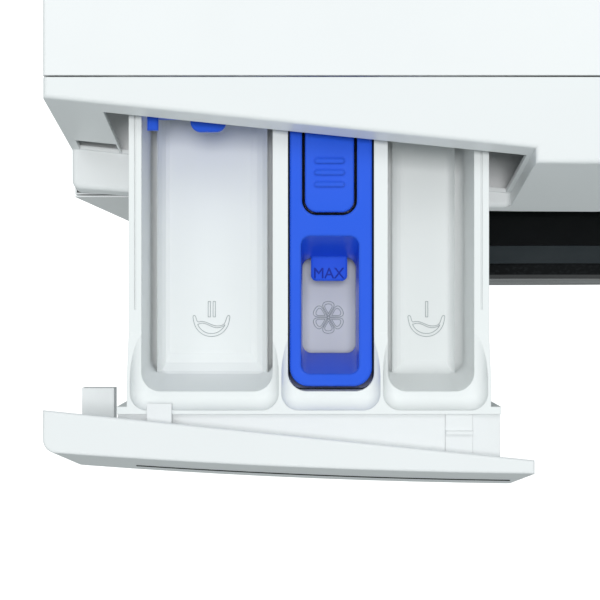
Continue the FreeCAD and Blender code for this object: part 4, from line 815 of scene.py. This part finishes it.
@dataclass
class GapShadeStrips:
    """Black strips of painted shade in the gaps round the insert and its tongue, and under the grip groove's
    edge, where there is only shade.
    """

    maker: Maker
    rim: float = 821.3
    travel: float = 159.0
    lip_z: float = 793.9
    lean: float = 0.19
    bow: float = 3927.0
    front: float = -265.0
    top: float = 848.0

    def gap_shade_strip(self, name: str, x: tuple[float, float], y: tuple[float, float], corner: float, z: float,
              radius: float) -> None:
        """U-shaped black strip of painted gap shade, open at the rear.

        Args:
            name: The piece's name.
            x: Left and right side in millimetres.
            y: Front and rear end.
            corner: Size of the two corners.
            z: Height of its middle.
            radius: Half its thickness.
        """
        left, right = x
        front, rear = y
        near = corner * 0.45
        flat = [(left, rear), (left, (rear + front) / 2.0), (left, front + corner), (left, front + near),
                (left + near, front), (left + corner, front), (right - corner, front), (right - near, front),
                (right, front + near), (right, front + corner), (right, (rear + front) / 2.0), (right, rear)]
        piece = self.maker.wire([(a * MM, b * MM, z * MM) for a, b in flat], radius * MM)
        self.maker.finish(piece, name, "drawer", "black_plastic", FINISHES["black_plastic"])

    def grip(self) -> None:
        """Black strip of painted shade under the upper edge of the drawer front's grip groove."""
        places = []
        for index in range(9):
            x = -257.6 + 205.2 * index / 8
            face = self.front + x * x / (2.0 * self.bow) - self.lean * (self.top - self.lip_z)
            places.append((x * MM, (face - self.travel - 0.05) * MM, self.lip_z * MM))
        piece = self.maker.wire(places, 0.50 * MM)
        self.maker.finish(piece, "grip_groove_shade", "drawer", "black_plastic", FINISHES["black_plastic"])

    def build(self) -> None:
        """Makes all strips of painted shade."""
        self.gap_shade_strip("insert_gap_shade", (-173.56, -128.94), (-381.9, -222.0), 9.0, self.rim, 0.36)
        self.gap_shade_strip("tongue_gap_shade", (-165.85, -138.15), (-289.35, -230.0), 7.5, 819.6, 0.55)
        self.grip()


@dataclass
class PanelMarks:
    """Printing round the knob and the digits in the display."""

    maker: Maker
    lean: float = 0.19
    bow: float = 3927.0
    front: float = -265.0
    top: float = 848.0
    knob_x: float = 62.0
    display_x: float = 168.0
    row_z: float = 799.0
    number_r: float = 39.0
    numbers: tuple[tuple[str, float], ...] = (
        ("20", 45.0), ("30", 90.0), ("40", 135.0), ("60", 225.0), ("90", 270.0), ("15", 315.0))

    def face(self, x: float, z: float) -> Vector:
        """Point on the fascia's face, in millimetres."""
        return Vector((x, self.front + x * x / (2.0 * self.bow) - self.lean * (self.top - z), z))

    def turn(self, x: float) -> Matrix:
        """Turn from flat to the fascia's face at x: local X to the right, local Z outwards."""
        across = Vector((1.0, x / self.bow, 0.0)).normalized()
        up = Vector((0.0, self.lean, 1.0)).normalized()
        out = across.cross(up).normalized()
        up = out.cross(across)
        return Matrix((across, up, out)).transposed()

    def ticks(self) -> None:
        """Short and long ticks round the knob."""
        marks = []
        turn = self.turn(self.knob_x)
        centre = self.face(self.knob_x, self.row_z)
        for index in range(16):
            angle = math.tau * index / 16
            reach = (29.5, 33.0) if index % 2 else (29.5, 34.5)
            run = [centre + turn @ Vector((r * math.sin(angle), r * math.cos(angle), 0.05)) for r in reach]
            line = (run[0], run[0].lerp(run[1], 0.5), run[1])
            marks.append(self.maker.wire([place * MM for place in line], 0.22 * MM))
        piece = self.maker.join(marks)
        self.maker.finish(piece, "knob_ticks", "cabinet", "grey_plastic", PRINT)

    def words(self) -> None:
        """Numbers round the knob and digits of the time left."""
        turn = self.turn(self.knob_x)
        centre = self.face(self.knob_x, self.row_z)
        words = []
        for text, degrees in self.numbers:
            angle = math.radians(degrees)
            spoke = Vector((self.number_r * math.sin(angle), self.number_r * math.cos(angle), 0.0))
            place = centre + turn @ spoke
            words.append(self.maker.lettering(text, place * MM, 5.0 * MM, 3.4 * MM, 0.12 * MM, turn))
        piece = self.maker.join(words)
        self.maker.finish(piece, "knob_numbers", "cabinet", "grey_plastic", PRINT)
        turn = self.turn(self.display_x)
        place = self.face(self.display_x, self.row_z) + turn @ Vector((18.0, 0.0, 0.12))
        digits = self.maker.lettering("1:45", place * MM, 34.0 * MM, 14.0 * MM, 0.10 * MM, turn)
        self.maker.finish(digits, "display_digits", "cabinet", "smoked_pane", LIT)


@dataclass
class Studio:
    """Camera, lights and floor."""

    eye: tuple[float, float, float] = (-0.165, -0.335, 1.548)
    lens: float = 82.3
    shift: float = -0.0083
    aim: tuple[float, float, float] = (-0.16, -0.25, 0.8)
    sky_tint: Colour = (0.88, 0.98, 0.985, 1.0)
    sky_strength: float = 0.48
    floor_size: float = 12.0
    floor_glow: float = 0.9

    def camera(self) -> None:
        """Puts the camera straight above the open drawer."""
        data = bpy.data.cameras.new("studio_camera")
        data.lens = self.lens
        data.sensor_width = 36.0
        data.shift_x = self.shift
        data.clip_start = 0.05
        data.clip_end = 50.0
        camera = bpy.data.objects.new("studio_camera", data)
        camera.location = self.eye
        bpy.context.scene.collection.objects.link(camera)
        bpy.context.scene.camera = camera

    def floor(self) -> None:
        """A large pale floor with its edge out of sight."""
        bpy.ops.object.select_all(action="DESELECT")
        bpy.ops.mesh.primitive_plane_add(size=self.floor_size, location=(0.0, 0.0, 0.0))
        floor = bpy.context.active_object
        floor.name = "studio_floor"
        material = bpy.data.materials.new("StudioFloor")
        material.use_nodes = True
        bench = NodeBench(material.node_tree)
        shader = material.node_tree.nodes["Principled BSDF"]
        place = bench.add("ShaderNodeTexCoord").outputs["Object"]
        tone = bench.remap(bench.noise(place, 3.0, 3.0), 0.3, 0.7, 0.0, 1.0)
        bench.join(bench.mix(tone, rgb(0.60, 0.60, 0.60), rgb(0.62, 0.62, 0.62)), shader.inputs["Base Color"])
        shader.inputs["Roughness"].default_value = 0.9
        seen = bench.add("ShaderNodeLightPath").outputs["Is Camera Ray"]
        shader.inputs["Emission Color"].default_value = (1.0, 1.0, 1.0, 1.0)
        bench.join(bench.math("MULTIPLY", seen, self.floor_glow), shader.inputs["Emission Strength"])
        floor.data.materials.append(material)

    @staticmethod
    def area(name: str, place: tuple[float, float, float], aim: tuple[float, float, float], size: float,
             power: float, glossy: bool = True) -> None:
        """Adds a soft square light.

        Args:
            name: The light's name.
            place: Where it hangs.
            aim: The point it faces.
            size: Side length in metres.
            power: Power in watts.
            glossy: Whether reflections show it.
        """
        data = bpy.data.lights.new(name, "AREA")
        data.size = size
        data.energy = power
        light = bpy.data.objects.new(name, data)
        light.location = place
        heading = Vector(aim) - Vector(place)
        light.rotation_euler = heading.to_track_quat("-Z", "Y").to_euler()
        light.visible_glossy = glossy
        bpy.context.scene.collection.objects.link(light)

    def lights(self) -> None:
        """Bright even sky and soft boxes."""
        world = bpy.data.worlds.new("studio_sky")
        world.use_nodes = True
        sky = world.node_tree.nodes["Background"]
        sky.inputs["Color"].default_value = self.sky_tint
        sky.inputs["Strength"].default_value = self.sky_strength
        bpy.context.scene.world = world
        self.area("key_box", (-0.16, -0.22, 3.4), (-0.16, -0.26, 0.8), 0.55, 29.5, False)
        self.area("left_rear_box", (-1.05, 0.65, 2.9), self.aim, 0.8, 5.0)
        self.area("right_rear_box", (0.75, 0.65, 2.9), self.aim, 0.8, 5.0)

    def build(self) -> None:
        """Makes the whole studio."""
        self.camera()
        self.floor()
        self.lights()
        view = bpy.context.scene.view_settings
        view.view_transform = "Standard"
        view.exposure = 0.0


def save_sizes() -> None:
    """Updates the view layer."""
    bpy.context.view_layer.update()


def main() -> None:
    """Builds the looks in order."""
    logging.basicConfig(level=logging.INFO, format="%(message)s")
    Studio().build()
    dresser = Dresser()
    dresser.dress(frame["nodes"], frame["record"])
    maker = Maker(dresser)
    FloorCoves(maker).build()
    TrayMarks(maker).build()
    GapShadeStrips(maker).build()
    panel = PanelMarks(maker)
    panel.ticks()
    panel.words()
    save_sizes()


if __name__ == "__main__":
    main()
